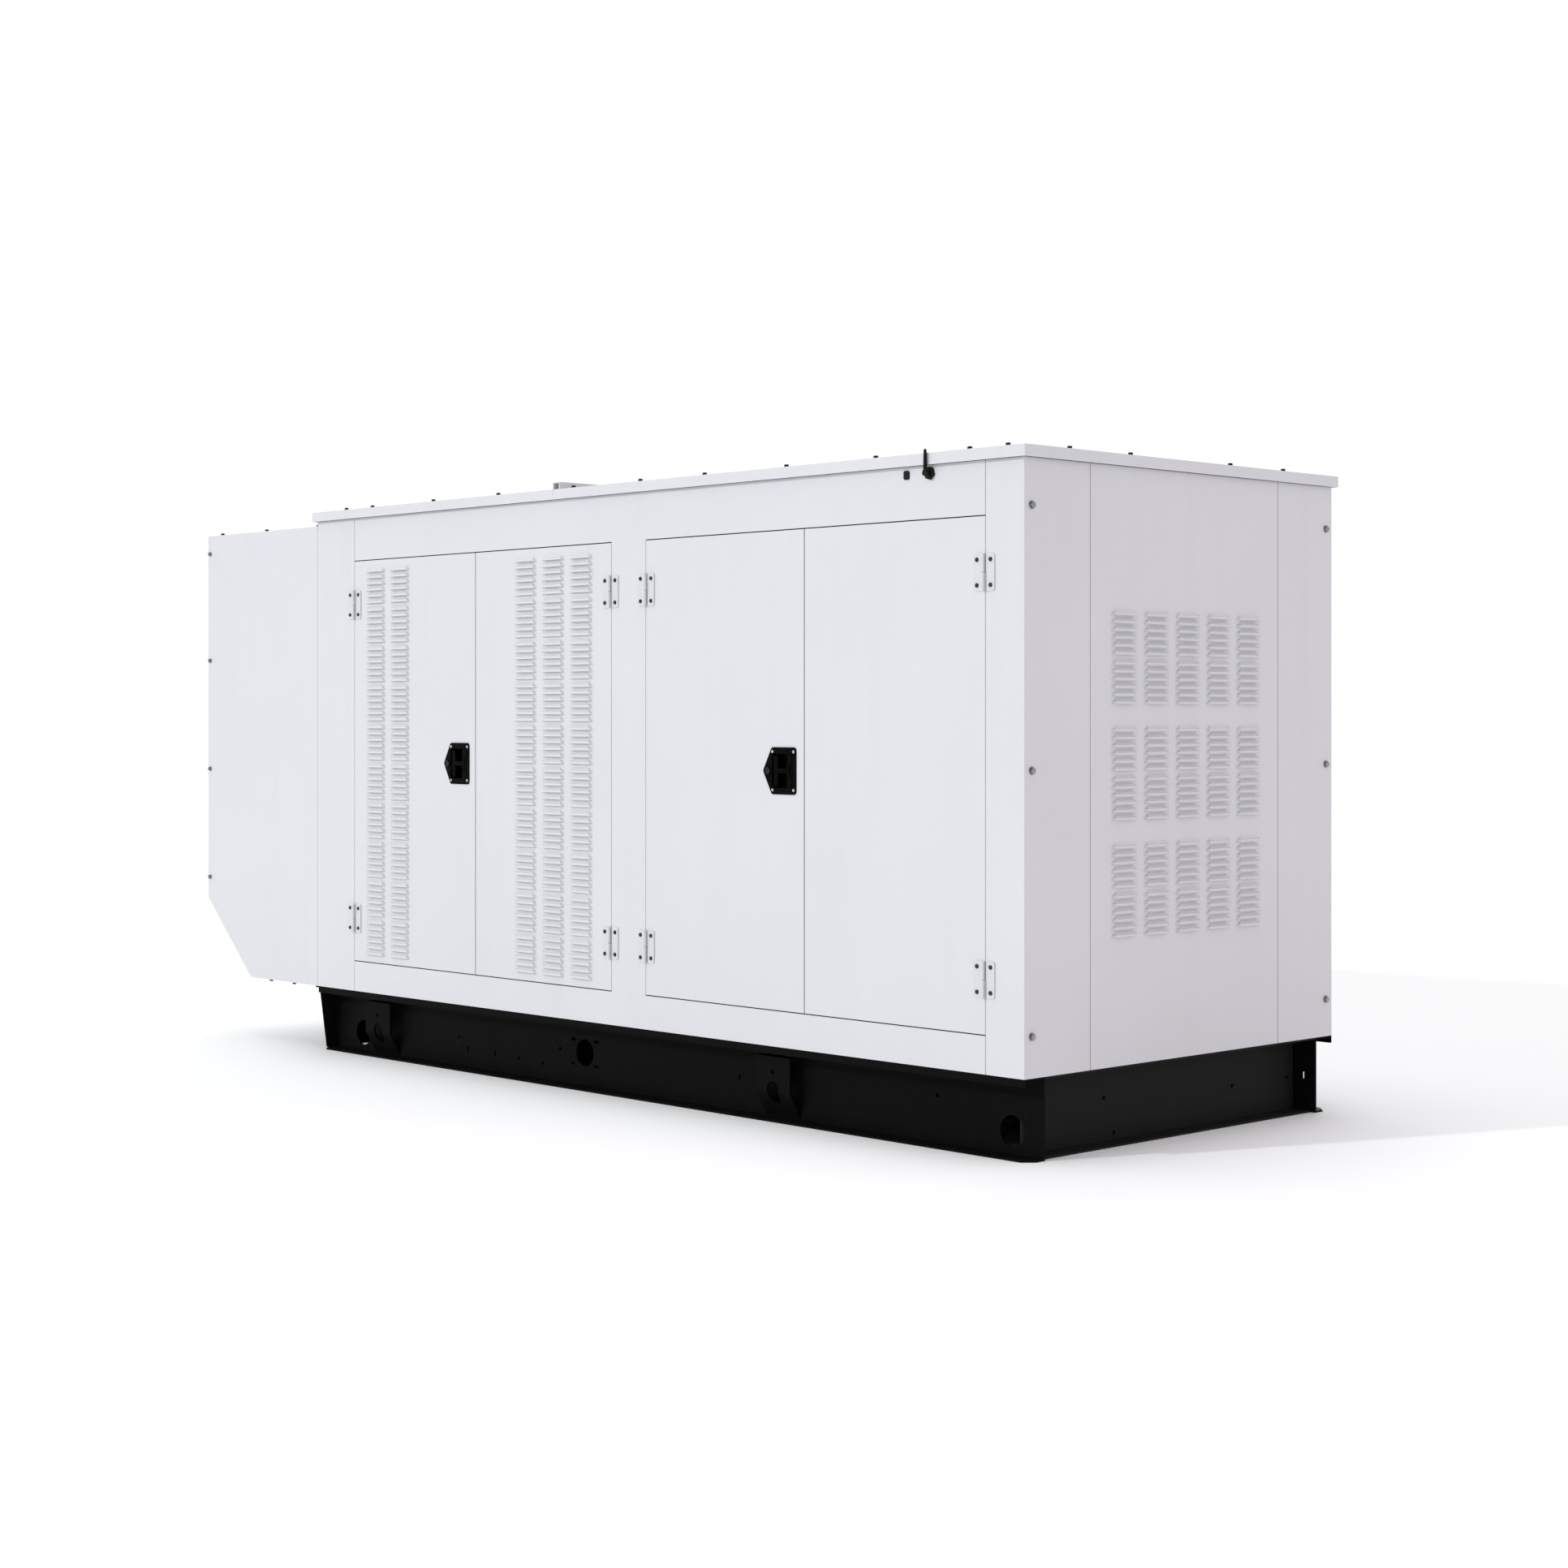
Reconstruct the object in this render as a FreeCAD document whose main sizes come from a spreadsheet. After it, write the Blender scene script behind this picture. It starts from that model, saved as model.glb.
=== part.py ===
"""Home standby generator in a sheet-metal weather enclosure on a formed-steel base.

Millimetres. The origin is the middle of the four anchor bolts, on the ground under
the base. +X runs along the machine to the louvered air-inlet end, -X to the discharge
hood, -Y is the front with the four doors, +Y the rear, and +Z is up.
"""
import FreeCAD, Part
import math
import os
import Sketcher
from FreeCAD import Placement, Rotation, Vector

doc = FreeCAD.newDocument("standby_generator")
sheet = doc.addObject("Spreadsheet::Sheet", "dim")

# ------------------------------------------------------------------ driving dimensions
DIMENSIONS = {
    # enclosure
    "body_length": 2987, "body_width": 1257, "base_height": 202, "wall_height": 1482,
    "fascia": 29, "overhang": 13, "skin": 2.5, "roof_sheet": 3, "return_depth": 27,
    "stop_width": 14, "corner_face": 122.6, "corner_side": 242.3, "pair_width": 1257.5,
    "centre_face": 145.5, "door_sill": 93, "door_height": 1257, "door_gap": 4,
    "hinge_gap": 2, "head_gap": 3, "door_depth": 22, "joint_gap": 2, "hood_gap": 1.5,
    "seam_inset": 1772, "seam_width": 30, "seam_rise": 20,
    # discharge hood
    "hood_length": 658, "hood_height": 1468, "hood_break": 251, "hood_foot": 393,
    "hood_lip": 40, "guard_radius": 6, "guard_pitch": 155,
    # base frame
    "web_inset": 70, "rail_plate": 5, "rail_lip": 20, "foot_inset": 15, "foot_chamfer": 27,
    "end_web_inset": 73, "member_flange": 50, "member_height": 140,
    "entry_radius": 39, "entry_low": 61, "entry_high": 99, "anchor_radius": 9,
    "anchor_half_x": 1350, "anchor_inset": 40.5, "bracket_width": 130, "bracket_plate": 8,
    "bracket_inset": 30, "bracket_top": 170, "bracket_bend": 76, "bracket_hole_z": 74,
    # louvers
    "louver_width": 104, "louver_height": 15, "louver_depth": 8, "louver_pitch": 19.4,
    "louver_column": 127, "louver_sheet": 1.6,
    # hinges and latches
    "hinge_height": 90, "hinge_leaf": 34, "hinge_shift": 4, "leaf_sheet": 3, "knuckle_radius": 5,
    "knuckle_offset": 5.5, "pin_radius": 2.5, "pin_play": 0.06, "hinge_low": 184,
    "hinge_high": 1166, "latch_size": 123, "latch_margin": 29.5, "latch_height": 721,
    "latch_flange": 3, "pocket_width": 71, "pocket_height": 89, "pocket_depth": 20,
    "handle_swing_radius": 4,
    # engine and generator set
    "shaft_height": 560, "block_length": 760, "block_left": -1150, "block_half": 170,
    "fan_height": 800, "fan_radius": 330, "fan_left": -1345, "fan_width": 60,
    "hub_radius": 60, "pulley_left": -1232, "pulley_width": 36, "fan_pulley_radius": 70,
    "crank_pulley_radius": 98, "stub_radius": 16, "stub_play": 0.06,
    "radiator_left": -1475, "radiator_depth": 80, "radiator_half": 440,
    "radiator_low": 300, "radiator_tall": 1200, "head_left": -388, "head_length": 900,
    "head_radius": 285, "muffler_height": 1545, "muffler_radius": 92, "manifold_out": 372,
    # controls
    "cabinet_left": 800, "cabinet_length": 480, "cabinet_inset": 190, "cabinet_depth": 260,
    "cabinet_low": 930, "cabinet_tall": 560, "antenna_x": 1187.5, "antenna_z": 1663.6,
}


class Size:
    """A length that carries its value and its formula in the spreadsheet."""

    def __init__(self, value, text):
        self.value = float(value)
        self.text = text

    def __float__(self):
        return self.value

    def __neg__(self):
        return Size(-self.value, "-(%s)" % self.text)

    def __add__(self, other):
        other = as_size(other)
        return Size(self.value + other.value, "(%s + %s)" % (self.text, other.text))

    def __sub__(self, other):
        other = as_size(other)
        return Size(self.value - other.value, "(%s - (%s))" % (self.text, other.text))

    def __mul__(self, other):
        other = as_size(other)
        return Size(self.value * other.value, "(%s) * (%s)" % (self.text, other.text))

    def __truediv__(self, other):
        other = as_size(other)
        return Size(self.value / other.value, "(%s) / (%s)" % (self.text, other.text))

    def __radd__(self, other):
        return as_size(other) + self

    def __rsub__(self, other):
        return as_size(other) - self

    def __rmul__(self, other):
        return as_size(other) * self


def as_size(number):
    """Wrap a plain number, so that it can be mixed with named sizes."""
    return number if isinstance(number, Size) else Size(number, repr(float(number)))


class NamedSizes:
    """One attribute per spreadsheet alias."""


D = NamedSizes()
for row, (alias, amount) in enumerate(DIMENSIONS.items(), start=1):
    sheet.set("A%d" % row, alias)
    sheet.set("B%d" % row, str(amount))
    sheet.setAlias("B%d" % row, alias)
    setattr(D, alias, Size(amount, "dim." + alias))
doc.recompute()

# ---------------------------------------------------------------------- derived places
FRONT, REAR = -1, 1
HALF_X = D.body_length / 2
HALF_Y = D.body_width / 2
WALL_TOP = D.base_height + D.wall_height
ROOF_TOP = WALL_TOP + D.fascia
DOOR_LOW = D.base_height + D.door_sill
DOOR_HIGH = DOOR_LOW + D.door_height
RIGHT_PAIR_END = HALF_X - D.corner_face
RIGHT_PAIR_START = RIGHT_PAIR_END - D.pair_width
LEFT_PAIR_END = RIGHT_PAIR_START - D.centre_face
LEFT_PAIR_START = LEFT_PAIR_END - D.pair_width
SEAM_X = HALF_X - D.seam_inset
HOOD_END = -HALF_X - D.hood_length
TURN = {"X": Rotation(Vector(0, 1, 0), 90), "Y": Rotation(Vector(1, 0, 0), -90), "Z": Rotation()}
nodes = []


def keep(name, thing):
    """Label a finished sub-part, so that it is written out under that name."""
    thing.Label = name
    nodes.append(thing)
    return thing


def bind(thing, **sizes):
    """Tie properties of a document object to the spreadsheet."""
    for name, amount in sizes.items():
        thing.setExpression(name, as_size(amount).text)


def place(thing, x, y, z):
    """Tie the position of a document object to the spreadsheet."""
    for axis, amount in zip("xyz", (x, y, z)):
        thing.setExpression(".Placement.Base." + axis, as_size(amount).text)


def box(name, x, y, z, length, width, height):
    thing = doc.addObject("Part::Box", name)
    bind(thing, Length=length, Width=width, Height=height)
    place(thing, x, y, z)
    return thing


def rod(name, axis, x, y, z, radius, length):
    """A cylinder that starts at a point and runs along +X, +Y or +Z."""
    thing = doc.addObject("Part::Cylinder", name)
    thing.Placement = Placement(Vector(), TURN[axis])
    bind(thing, Radius=radius, Height=length)
    place(thing, x, y, z)
    return thing


def fuse(name, things):
    thing = doc.addObject("Part::MultiFuse", name)
    thing.Shapes = things
    return thing


def cut(name, base, tools):
    thing = doc.addObject("Part::Cut", name)
    thing.Base = base
    thing.Tool = tools[0] if len(tools) == 1 else fuse(name + "_tools", tools)
    return thing


def group(name, things):
    """Identical separate pieces that share one node."""
    thing = doc.addObject("Part::Compound", name)
    thing.Links = things
    return thing


def origin_plane(body, role):
    return [item for item in body.Origin.OriginFeatures if item.Role == role][0]


def prism(name, plane, points, start, length):
    """Pad an outline: XY along +Z, XZ along +Y, YZ along +X, from start for length."""
    body = doc.addObject("PartDesign::Body", name)
    sketch = body.newObject("Sketcher::SketchObject", name + "_outline")
    sketch.AttachmentSupport = [(origin_plane(body, plane + "_Plane"), "")]
    sketch.MapMode = "FlatFace"
    corners = [Vector(float(a), float(b), 0) for a, b in points]
    count = len(points)
    for index in range(count):
        sketch.addGeometry(Part.LineSegment(corners[index], corners[(index + 1) % count]), False)
    for index in range(count):
        sketch.addConstraint(Sketcher.Constraint("Coincident", index, 2, (index + 1) % count, 1))
    for index in range(count):
        for kind, part in (("DistanceX", 0), ("DistanceY", 1)):
            start_value = corners[index][part]
            number = sketch.addConstraint(Sketcher.Constraint(kind, -1, 1, index, 1, start_value))
            sketch.setExpression("Constraints[%d]" % number, as_size(points[index][part]).text)
    pad = body.newObject("PartDesign::Pad", name + "_pad")
    pad.Profile = sketch
    pad.Reversed = plane == "XZ"
    bind(pad, Length=length)
    place(body, *{"XY": (0, 0, start), "XZ": (0, start, 0), "YZ": (start, 0, 0)}[plane])
    return body


def side_name(side):
    return "front" if side == FRONT else "rear"


def face_y(side, inset):
    """The Y of a plane that lies inset from the enclosure's front or rear face."""
    return side * (HALF_Y - inset)


def low_y(side, inset_a, inset_b):
    """The lower Y of two insets, for a box between them."""
    first, second = face_y(side, inset_a), face_y(side, inset_b)
    return first if float(first) < float(second) else second


# -------------------------------------------------------------------------- base frame
RAIL_HOLES = [(2327, 91, 5.5), (2034, 54, 5.5), (1922, 51, 5.5), (1842, 101, 5.5), (347, 122, 5.5)]
RAIL_SLITS = [(2283, 59), (2151, 59), (1074, 94), (39, 98)]
REAR_CLEAR = 150
ENTRY_HOLES = [(100, D.entry_low), (1729, D.entry_high), (2833, D.entry_low)]
ENTRY_SLOTS_X, ENTRY_SLOTS_Z = 103, 70
SLOT_LENGTH, SLOT_RADIUS = 22, 4.5


def base_rail(side):
    """Formed channel that opens outwards, with a down-turned lip and a bolting foot.

    The rear rail has no holes in its last stretch, beside the end member.
    """
    name = "base_rail_" + side_name(side)
    plate = D.rail_plate
    outline = [
        (face_y(side, 0), D.base_height), (face_y(side, 0), D.base_height - D.rail_lip),
        (face_y(side, plate), D.base_height - D.rail_lip),
        (face_y(side, plate), D.base_height - plate),
        (face_y(side, D.web_inset), D.base_height - plate), (face_y(side, D.web_inset), plate),
        (face_y(side, D.foot_inset), plate), (face_y(side, D.foot_inset), 0),
        (face_y(side, D.web_inset + plate), 0),
        (face_y(side, D.web_inset + plate), D.base_height),
    ]
    channel = prism(name + "_channel", "YZ", outline, -HALF_X + plate, D.body_length - plate)
    web_y = low_y(side, D.web_inset - 2, D.web_inset + plate + 2)
    through = plate + 4
    tools = []
    kept = 0 if side == FRONT else REAR_CLEAR
    for index, (inset, height) in enumerate(ENTRY_HOLES):
        if inset < kept:
            continue
        tools.append(rod("%s_entry_%d" % (name, index), "Y", HALF_X - inset, web_y, height,
                         D.entry_radius, through))
    for index, (inset, height, radius) in enumerate(RAIL_HOLES):
        if inset < kept:
            continue
        tools.append(rod("%s_hole_%d" % (name, index), "Y", HALF_X - inset, web_y, height,
                         radius, through))
    for index, (inset, height) in enumerate(RAIL_SLITS):
        tools.append(box("%s_slit_%d" % (name, index), HALF_X - inset - 3, web_y, height - 9,
                         6, through, 18))
    for across in (-1, 1):
        for up in (-1, 1):
            centre_x = HALF_X - ENTRY_HOLES[1][0] + across * ENTRY_SLOTS_X / 2
            centre_z = D.entry_high + up * ENTRY_SLOTS_Z / 2
            straight = SLOT_LENGTH / 2 - SLOT_RADIUS
            tools.append(box("%s_slot" % name, centre_x - straight, web_y, centre_z - SLOT_RADIUS,
                             2 * straight, through, 2 * SLOT_RADIUS))
            for end in (-1, 1):
                tools.append(rod("%s_slot_end" % name, "Y", centre_x + end * straight, web_y,
                                 centre_z, SLOT_RADIUS, through))
    for end in (-1, 1):
        tools.append(rod("%s_anchor" % name, "Z", end * D.anchor_half_x,
                         face_y(side, D.anchor_inset), -2, D.anchor_radius, plate + 4))
        toe, tip = D.foot_inset - 1, end * (HALF_X + 1)
        corner = [(tip, face_y(side, toe)), (end * (HALF_X - D.foot_chamfer), face_y(side, toe)),
                  (tip, face_y(side, toe + D.foot_chamfer + 2))]
        tools.append(prism("%s_corner" % name, "XY", corner, -2, plate + 4))
    keep(name, cut(name, channel, tools))


def base_end_right():
    """Recessed web between the rails at the louvered end, flanged outwards top and bottom."""
    plate = D.rail_plate
    inner = HALF_Y - D.web_inset - plate
    web = HALF_X - D.end_web_inset
    outline = [
        (web - plate, 0), (web + D.end_web_inset - D.foot_inset, 0),
        (web + D.end_web_inset - D.foot_inset, plate), (web, plate),
        (web, D.base_height - plate), (HALF_X, D.base_height - plate),
        (HALF_X, D.base_height), (web - plate, D.base_height),
    ]
    member = prism("base_end_right_channel", "XZ", outline, -inner, 2 * inner)
    tools = []
    for index, (across, height) in enumerate(((-244, 113), (-206, 22), (283, 92), (525, 92))):
        tools.append(rod("base_end_right_hole_%d" % index, "X", web - plate - 2, across,
                         height, 6, plate + 4))
    keep("base_end_right", cut("base_end_right", member, tools))


def base_end_left():
    """Flat closing plate at the hood end; its edges taper in to the rails' feet."""
    half_top = HALF_Y - 9
    half_foot = HALF_Y - 33
    shoulder = D.base_height - D.rail_lip
    outline = [
        (-half_foot, D.rail_plate), (half_foot, D.rail_plate), (half_top, shoulder),
        (half_top, D.base_height), (-half_top, D.base_height), (-half_top, shoulder),
    ]
    keep("base_end_left", prism("base_end_left", "YZ", outline, -HALF_X, D.rail_plate))


def base_cross_members():
    """Channels between the rails that carry the engine and the generator head."""
    plate = D.rail_plate
    inner = HALF_Y - D.web_inset - plate
    members = []
    for index, middle in enumerate((-1050, -480, -278, 402, 830, 1250)):
        left = as_size(middle) - D.member_flange / 2
        right = left + D.member_flange
        low = D.base_height - D.member_height
        outline = [
            (left, low), (right, low), (right, low + plate), (left + plate, low + plate),
            (left + plate, D.base_height - plate), (right, D.base_height - plate),
            (right, D.base_height), (left, D.base_height),
        ]
        members.append(prism("cross_member_%d" % index, "XZ", outline, -inner, 2 * inner))
    keep("base_cross_members", group("base_cross_members", members))


def lifting_brackets():
    """Four bent plates on the rails' webs; each has an upright slotted lifting eye."""
    plate = D.bracket_plate
    eye_radius, eye_half = 21, 9
    brackets = []
    for side in (FRONT, REAR):
        outline = [
            (face_y(side, D.web_inset), D.bracket_top), (face_y(side, D.bracket_inset), D.bracket_top),
            (face_y(side, D.bracket_inset), D.bracket_bend), (face_y(side, D.web_inset), 7),
            (face_y(side, D.web_inset), 21),
            (face_y(side, D.bracket_inset + plate), D.bracket_bend + 2),
            (face_y(side, D.bracket_inset + plate), D.bracket_top - plate),
            (face_y(side, D.web_inset), D.bracket_top - plate),
        ]
        start = low_y(side, D.bracket_inset - 2, D.web_inset + 2)
        depth = D.web_inset - D.bracket_inset + 4
        for index, middle in enumerate((HALF_X - 2700, HALF_X - 903)):
            name = "bracket_%s_%d" % (side_name(side), index)
            plate_body = prism(name + "_plate", "YZ", outline, middle - D.bracket_width / 2,
                               D.bracket_width)
            eye_z = D.bracket_hole_z
            tools = [box(name + "_eye", middle - eye_radius, start, eye_z - eye_half,
                         2 * eye_radius, depth, 2 * eye_half),
                     rod(name + "_eye_low", "Y", middle, start, eye_z - eye_half, eye_radius, depth),
                     rod(name + "_eye_high", "Y", middle, start, eye_z + eye_half, eye_radius, depth),
                     rod(name + "_pilot", "Y", middle, start, 129, 6, depth / 2)]
            brackets.append(cut(name, plate_body, tools))
    keep("lifting_brackets", group("lifting_brackets", brackets))


# --------------------------------------------------------------------- enclosure frame
def corner_post(side):
    """Wraps the louvered end's corner; returned at the door edge with a door stop."""
    name = "corner_post_" + side_name(side)
    edge, sheet_t = RIGHT_PAIR_END, D.skin
    stop = D.return_depth + 1
    outline = [
        (edge, face_y(side, 0)), (HALF_X, face_y(side, 0)), (HALF_X, face_y(side, D.corner_side)),
        (HALF_X - 30, face_y(side, D.corner_side)),
        (HALF_X - 30, face_y(side, D.corner_side - sheet_t)),
        (HALF_X - sheet_t, face_y(side, D.corner_side - sheet_t)),
        (HALF_X - sheet_t, face_y(side, sheet_t)), (edge + sheet_t, face_y(side, sheet_t)),
        (edge + sheet_t, face_y(side, stop + sheet_t)),
        (edge - D.stop_width, face_y(side, stop + sheet_t)),
        (edge - D.stop_width, face_y(side, stop)), (edge, face_y(side, stop)),
    ]
    keep(name, prism(name, "XY", outline, D.base_height, D.wall_height))


def left_post(side):
    """Plain post beside the hood, returned inwards at both edges."""
    name = "left_post_" + side_name(side)
    edge, sheet_t = LEFT_PAIR_START, D.skin
    stop = D.return_depth + 1
    outline = [
        (-HALF_X, face_y(side, 0)), (edge, face_y(side, 0)), (edge, face_y(side, stop)),
        (edge + D.stop_width, face_y(side, stop)),
        (edge + D.stop_width, face_y(side, stop + sheet_t)),
        (edge - sheet_t, face_y(side, stop + sheet_t)), (edge - sheet_t, face_y(side, sheet_t)),
        (-HALF_X + sheet_t, face_y(side, sheet_t)), (-HALF_X + sheet_t, face_y(side, 60)),
        (-HALF_X, face_y(side, 60)),
    ]
    keep(name, prism(name, "XY", outline, D.base_height, D.wall_height))


def centre_post(side):
    """Hat-shaped post between the openings, with a door stop on each side."""
    name = "centre_post_" + side_name(side)
    left, right, sheet_t = LEFT_PAIR_END, RIGHT_PAIR_START, D.skin
    stop = D.return_depth + 1
    outline = [
        (left, face_y(side, 0)), (right, face_y(side, 0)), (right, face_y(side, stop)),
        (right + D.stop_width, face_y(side, stop)),
        (right + D.stop_width, face_y(side, stop + sheet_t)),
        (right - sheet_t, face_y(side, stop + sheet_t)), (right - sheet_t, face_y(side, sheet_t)),
        (left + sheet_t, face_y(side, sheet_t)), (left + sheet_t, face_y(side, stop + sheet_t)),
        (left - D.stop_width, face_y(side, stop + sheet_t)),
        (left - D.stop_width, face_y(side, stop)), (left, face_y(side, stop)),
    ]
    keep(name, prism(name, "XY", outline, DOOR_LOW, D.door_height))


def rail_between_posts(name, side, low, height):
    """Header or sill: a channel that opens inwards, between the corner and left posts."""
    sheet_t = D.skin
    outline = [
        (face_y(side, 0), low), (face_y(side, D.return_depth), low),
        (face_y(side, D.return_depth), low + sheet_t), (face_y(side, sheet_t), low + sheet_t),
        (face_y(side, sheet_t), low + height - sheet_t),
        (face_y(side, D.return_depth), low + height - sheet_t),
        (face_y(side, D.return_depth), low + height), (face_y(side, 0), low + height),
    ]
    length = RIGHT_PAIR_END - LEFT_PAIR_START - 2 * D.joint_gap
    return prism(name, "YZ", outline, LEFT_PAIR_START + D.joint_gap, length)


def headers_and_sills():
    sills = [rail_between_posts("sill_" + side_name(side), side, D.base_height, D.door_sill)
             for side in (FRONT, REAR)]
    keep("sills", group("sills", sills))
    headers = [rail_between_posts("header_" + side_name(side), side, DOOR_HIGH,
                                  WALL_TOP - DOOR_HIGH) for side in (FRONT, REAR)]
    hole = rod("antenna_hole", "Y", D.antenna_x, -HALF_Y - 2, D.antenna_z, 4.5, D.skin + 4)
    drilled = cut("header_front_drilled", headers[0], [hole])
    keep("headers", group("headers", [drilled, headers[1]]))


# ----------------------------------------------------------------------------- louvers
LOUVER_TOP_INSET, LOUVER_FRONT_INSET = 20, 9


def flat_face(points):
    return Part.Face(Part.makePolygon([Vector(*point) for point in points + points[:1]]))


def louver_hood():
    """One pressed louver, open underneath: its outer form, on a sheet whose face is y = 0."""
    half, rise, out = float(D.louver_width) / 2, float(D.louver_height), float(D.louver_depth)
    back = 0.5
    top = half - LOUVER_TOP_INSET
    lip = half - LOUVER_FRONT_INSET
    a, b = (-half, back, 0), (half, back, 0)
    c, d = (top, back, rise), (-top, back, rise)
    e, f = (-lip, -out, 0), (lip, -out, 0)
    faces = [[a, b, c, d], [a, e, f, b], [d, c, f, e], [a, d, e], [b, f, c]]
    return Part.Solid(Part.Shell([flat_face(points) for points in faces]))


def louver_throat():
    """The air way inside one louver, through the sheet and out underneath."""
    wall = float(D.louver_sheet)
    out, rise, sheet_t = float(D.louver_depth), float(D.louver_height), float(D.skin)
    half = float(D.louver_width) / 2 - LOUVER_TOP_INSET + wall
    section = [(-half, sheet_t + 1, 0), (-half, sheet_t + 1, rise - 4), (-half, 0, rise - 4),
               (-half, wall - out, 1), (-half, wall - out, 0)]
    return flat_face(section).extrude(Vector(2 * half, 0, 0))


def moved(shape, x, y, z):
    copy = shape.copy()
    copy.translate(Vector(x, y, z))
    return copy


def with_louvers(shape, columns, rows):
    """Press louvers into a shape whose sheet faces -Y at y = 0."""
    hood, throat = louver_hood(), louver_throat()
    places = [(x, z) for x in columns for z in rows]
    shape = shape.fuse([moved(hood, x, 0, z) for x, z in places])
    return shape.cut([moved(throat, x, 0, z) for x, z in places]).Solids[0]


def louver_rows(low, blocks, block_pitch, per_block):
    """Heights of the louvers: groups of rows with a wider gap between the groups."""
    pitch = float(D.louver_pitch)
    return [low + block * block_pitch + row * pitch for block in range(blocks)
            for row in range(per_block)]


def shape_node(name, shape, turn=0.0, x=0.0, y=0.0, z=0.0):
    """A sub-part whose shape is worked out from the sheet and then placed."""
    thing = doc.addObject("Part::Feature", name)
    thing.Shape = shape
    thing.Placement = Placement(Vector(float(x), float(y), float(z)),
                                Rotation(Vector(0, 0, 1), turn))
    return keep(name, thing)


def end_louver_panel():
    """Air-inlet panel in the middle of the right-hand end, with five louver columns."""
    width = float(D.body_width - 2 * D.corner_side) - 5
    height, sheet_t, flange = float(D.wall_height), float(D.skin), 24.0
    panel = Part.makeBox(width, sheet_t, height, Vector(-width / 2, 0, 0))
    for x in (-width / 2, width / 2 - sheet_t):
        panel = panel.fuse(Part.makeBox(sheet_t, flange, height, Vector(x, 0, 0)))
    column = float(D.louver_column)
    columns = [column * index for index in range(-2, 3)]
    rows = []
    for low in (318, 607, 894):
        rows += louver_rows(low, 2, 122.0, 6)
    shape_node("end_louver_panel", with_louvers(panel, columns, rows), 90, HALF_X, 0,
               D.base_height)


# ------------------------------------------------------------------------------- doors
FRONT_ROWS = louver_rows(24, 10, 121.5, 6)
LEAF_WIDTH = (D.pair_width - D.door_gap - 2 * D.hinge_gap) / 2


def door_leaf(columns, latch_x):
    """A pan-shaped door leaf that starts at x = 0; it may have louvers and a latch cut-out."""
    width, height = float(LEAF_WIDTH), float(D.door_height - 2 * D.head_gap)
    depth, sheet_t = float(D.door_depth), float(D.skin)
    pan = Part.makeBox(width, depth, height)
    inside = Part.makeBox(width - 2 * sheet_t, depth, height - 2 * sheet_t,
                          Vector(sheet_t, sheet_t, sheet_t))
    pan = pan.cut(inside)
    if latch_x is not None:
        hole_w, hole_h = float(D.pocket_width) + 5, float(D.pocket_height) + 5
        centre_z = float(D.latch_height - D.door_sill - D.head_gap)
        corner = Vector(latch_x - hole_w / 2, -1, centre_z - hole_h / 2)
        pan = pan.cut(Part.makeBox(hole_w, sheet_t + 2, hole_h, corner))
    return with_louvers(pan, columns, FRONT_ROWS) if columns else pan


def latch_pocket_x():
    """Middle of the latch pocket on a leaf whose free edge is on the right."""
    right = float(LEAF_WIDTH - D.latch_margin)
    return right - float(D.latch_size) + 70.0


def doors():
    """Two pairs of front doors and one pair at the rear, with the same leaves."""
    column = float(D.louver_column)
    low = DOOR_LOW + D.head_gap
    left_leaf, right_leaf = D.hinge_gap, D.hinge_gap + LEAF_WIDTH + D.door_gap
    latch = latch_pocket_x()
    two = [115.0 + column * index for index in range(2)]
    three = [238.0 + column * index for index in range(3)]
    shape_node("front_door_1", door_leaf(two, latch), 0, LEFT_PAIR_START + left_leaf, -HALF_Y, low)
    shape_node("front_door_2", door_leaf(three, None), 0, LEFT_PAIR_START + right_leaf, -HALF_Y,
               low)
    shape_node("front_door_3", door_leaf([], latch), 0, RIGHT_PAIR_START + left_leaf, -HALF_Y, low)
    shape_node("front_door_4", door_leaf([], None), 0, RIGHT_PAIR_START + right_leaf, -HALF_Y, low)
    shape_node("rear_door_1", door_leaf([], latch), 180, RIGHT_PAIR_END - left_leaf, HALF_Y, low)
    shape_node("rear_door_2", door_leaf([], None), 180, RIGHT_PAIR_END - right_leaf, HALF_Y, low)


def rear_service_panel():
    """Bolted louvered panel that closes the left half of the rear."""
    width, height = float(D.pair_width) - 4, float(D.door_height - 2 * D.head_gap)
    depth, sheet_t = float(D.door_depth), float(D.skin)
    pan = Part.makeBox(width, depth, height)
    inside = Part.makeBox(width - 2 * sheet_t, depth, height - 2 * sheet_t,
                          Vector(sheet_t, sheet_t, sheet_t))
    columns = [width / 2 + float(D.louver_column) * offset for offset in (-3, -2, 2, 3)]
    rows = louver_rows(150, 8, 121.5, 6)
    shape_node("rear_service_panel", with_louvers(pan.cut(inside), columns, rows), 180,
               LEFT_PAIR_END - 2, HALF_Y, DOOR_LOW + D.head_gap)


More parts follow.
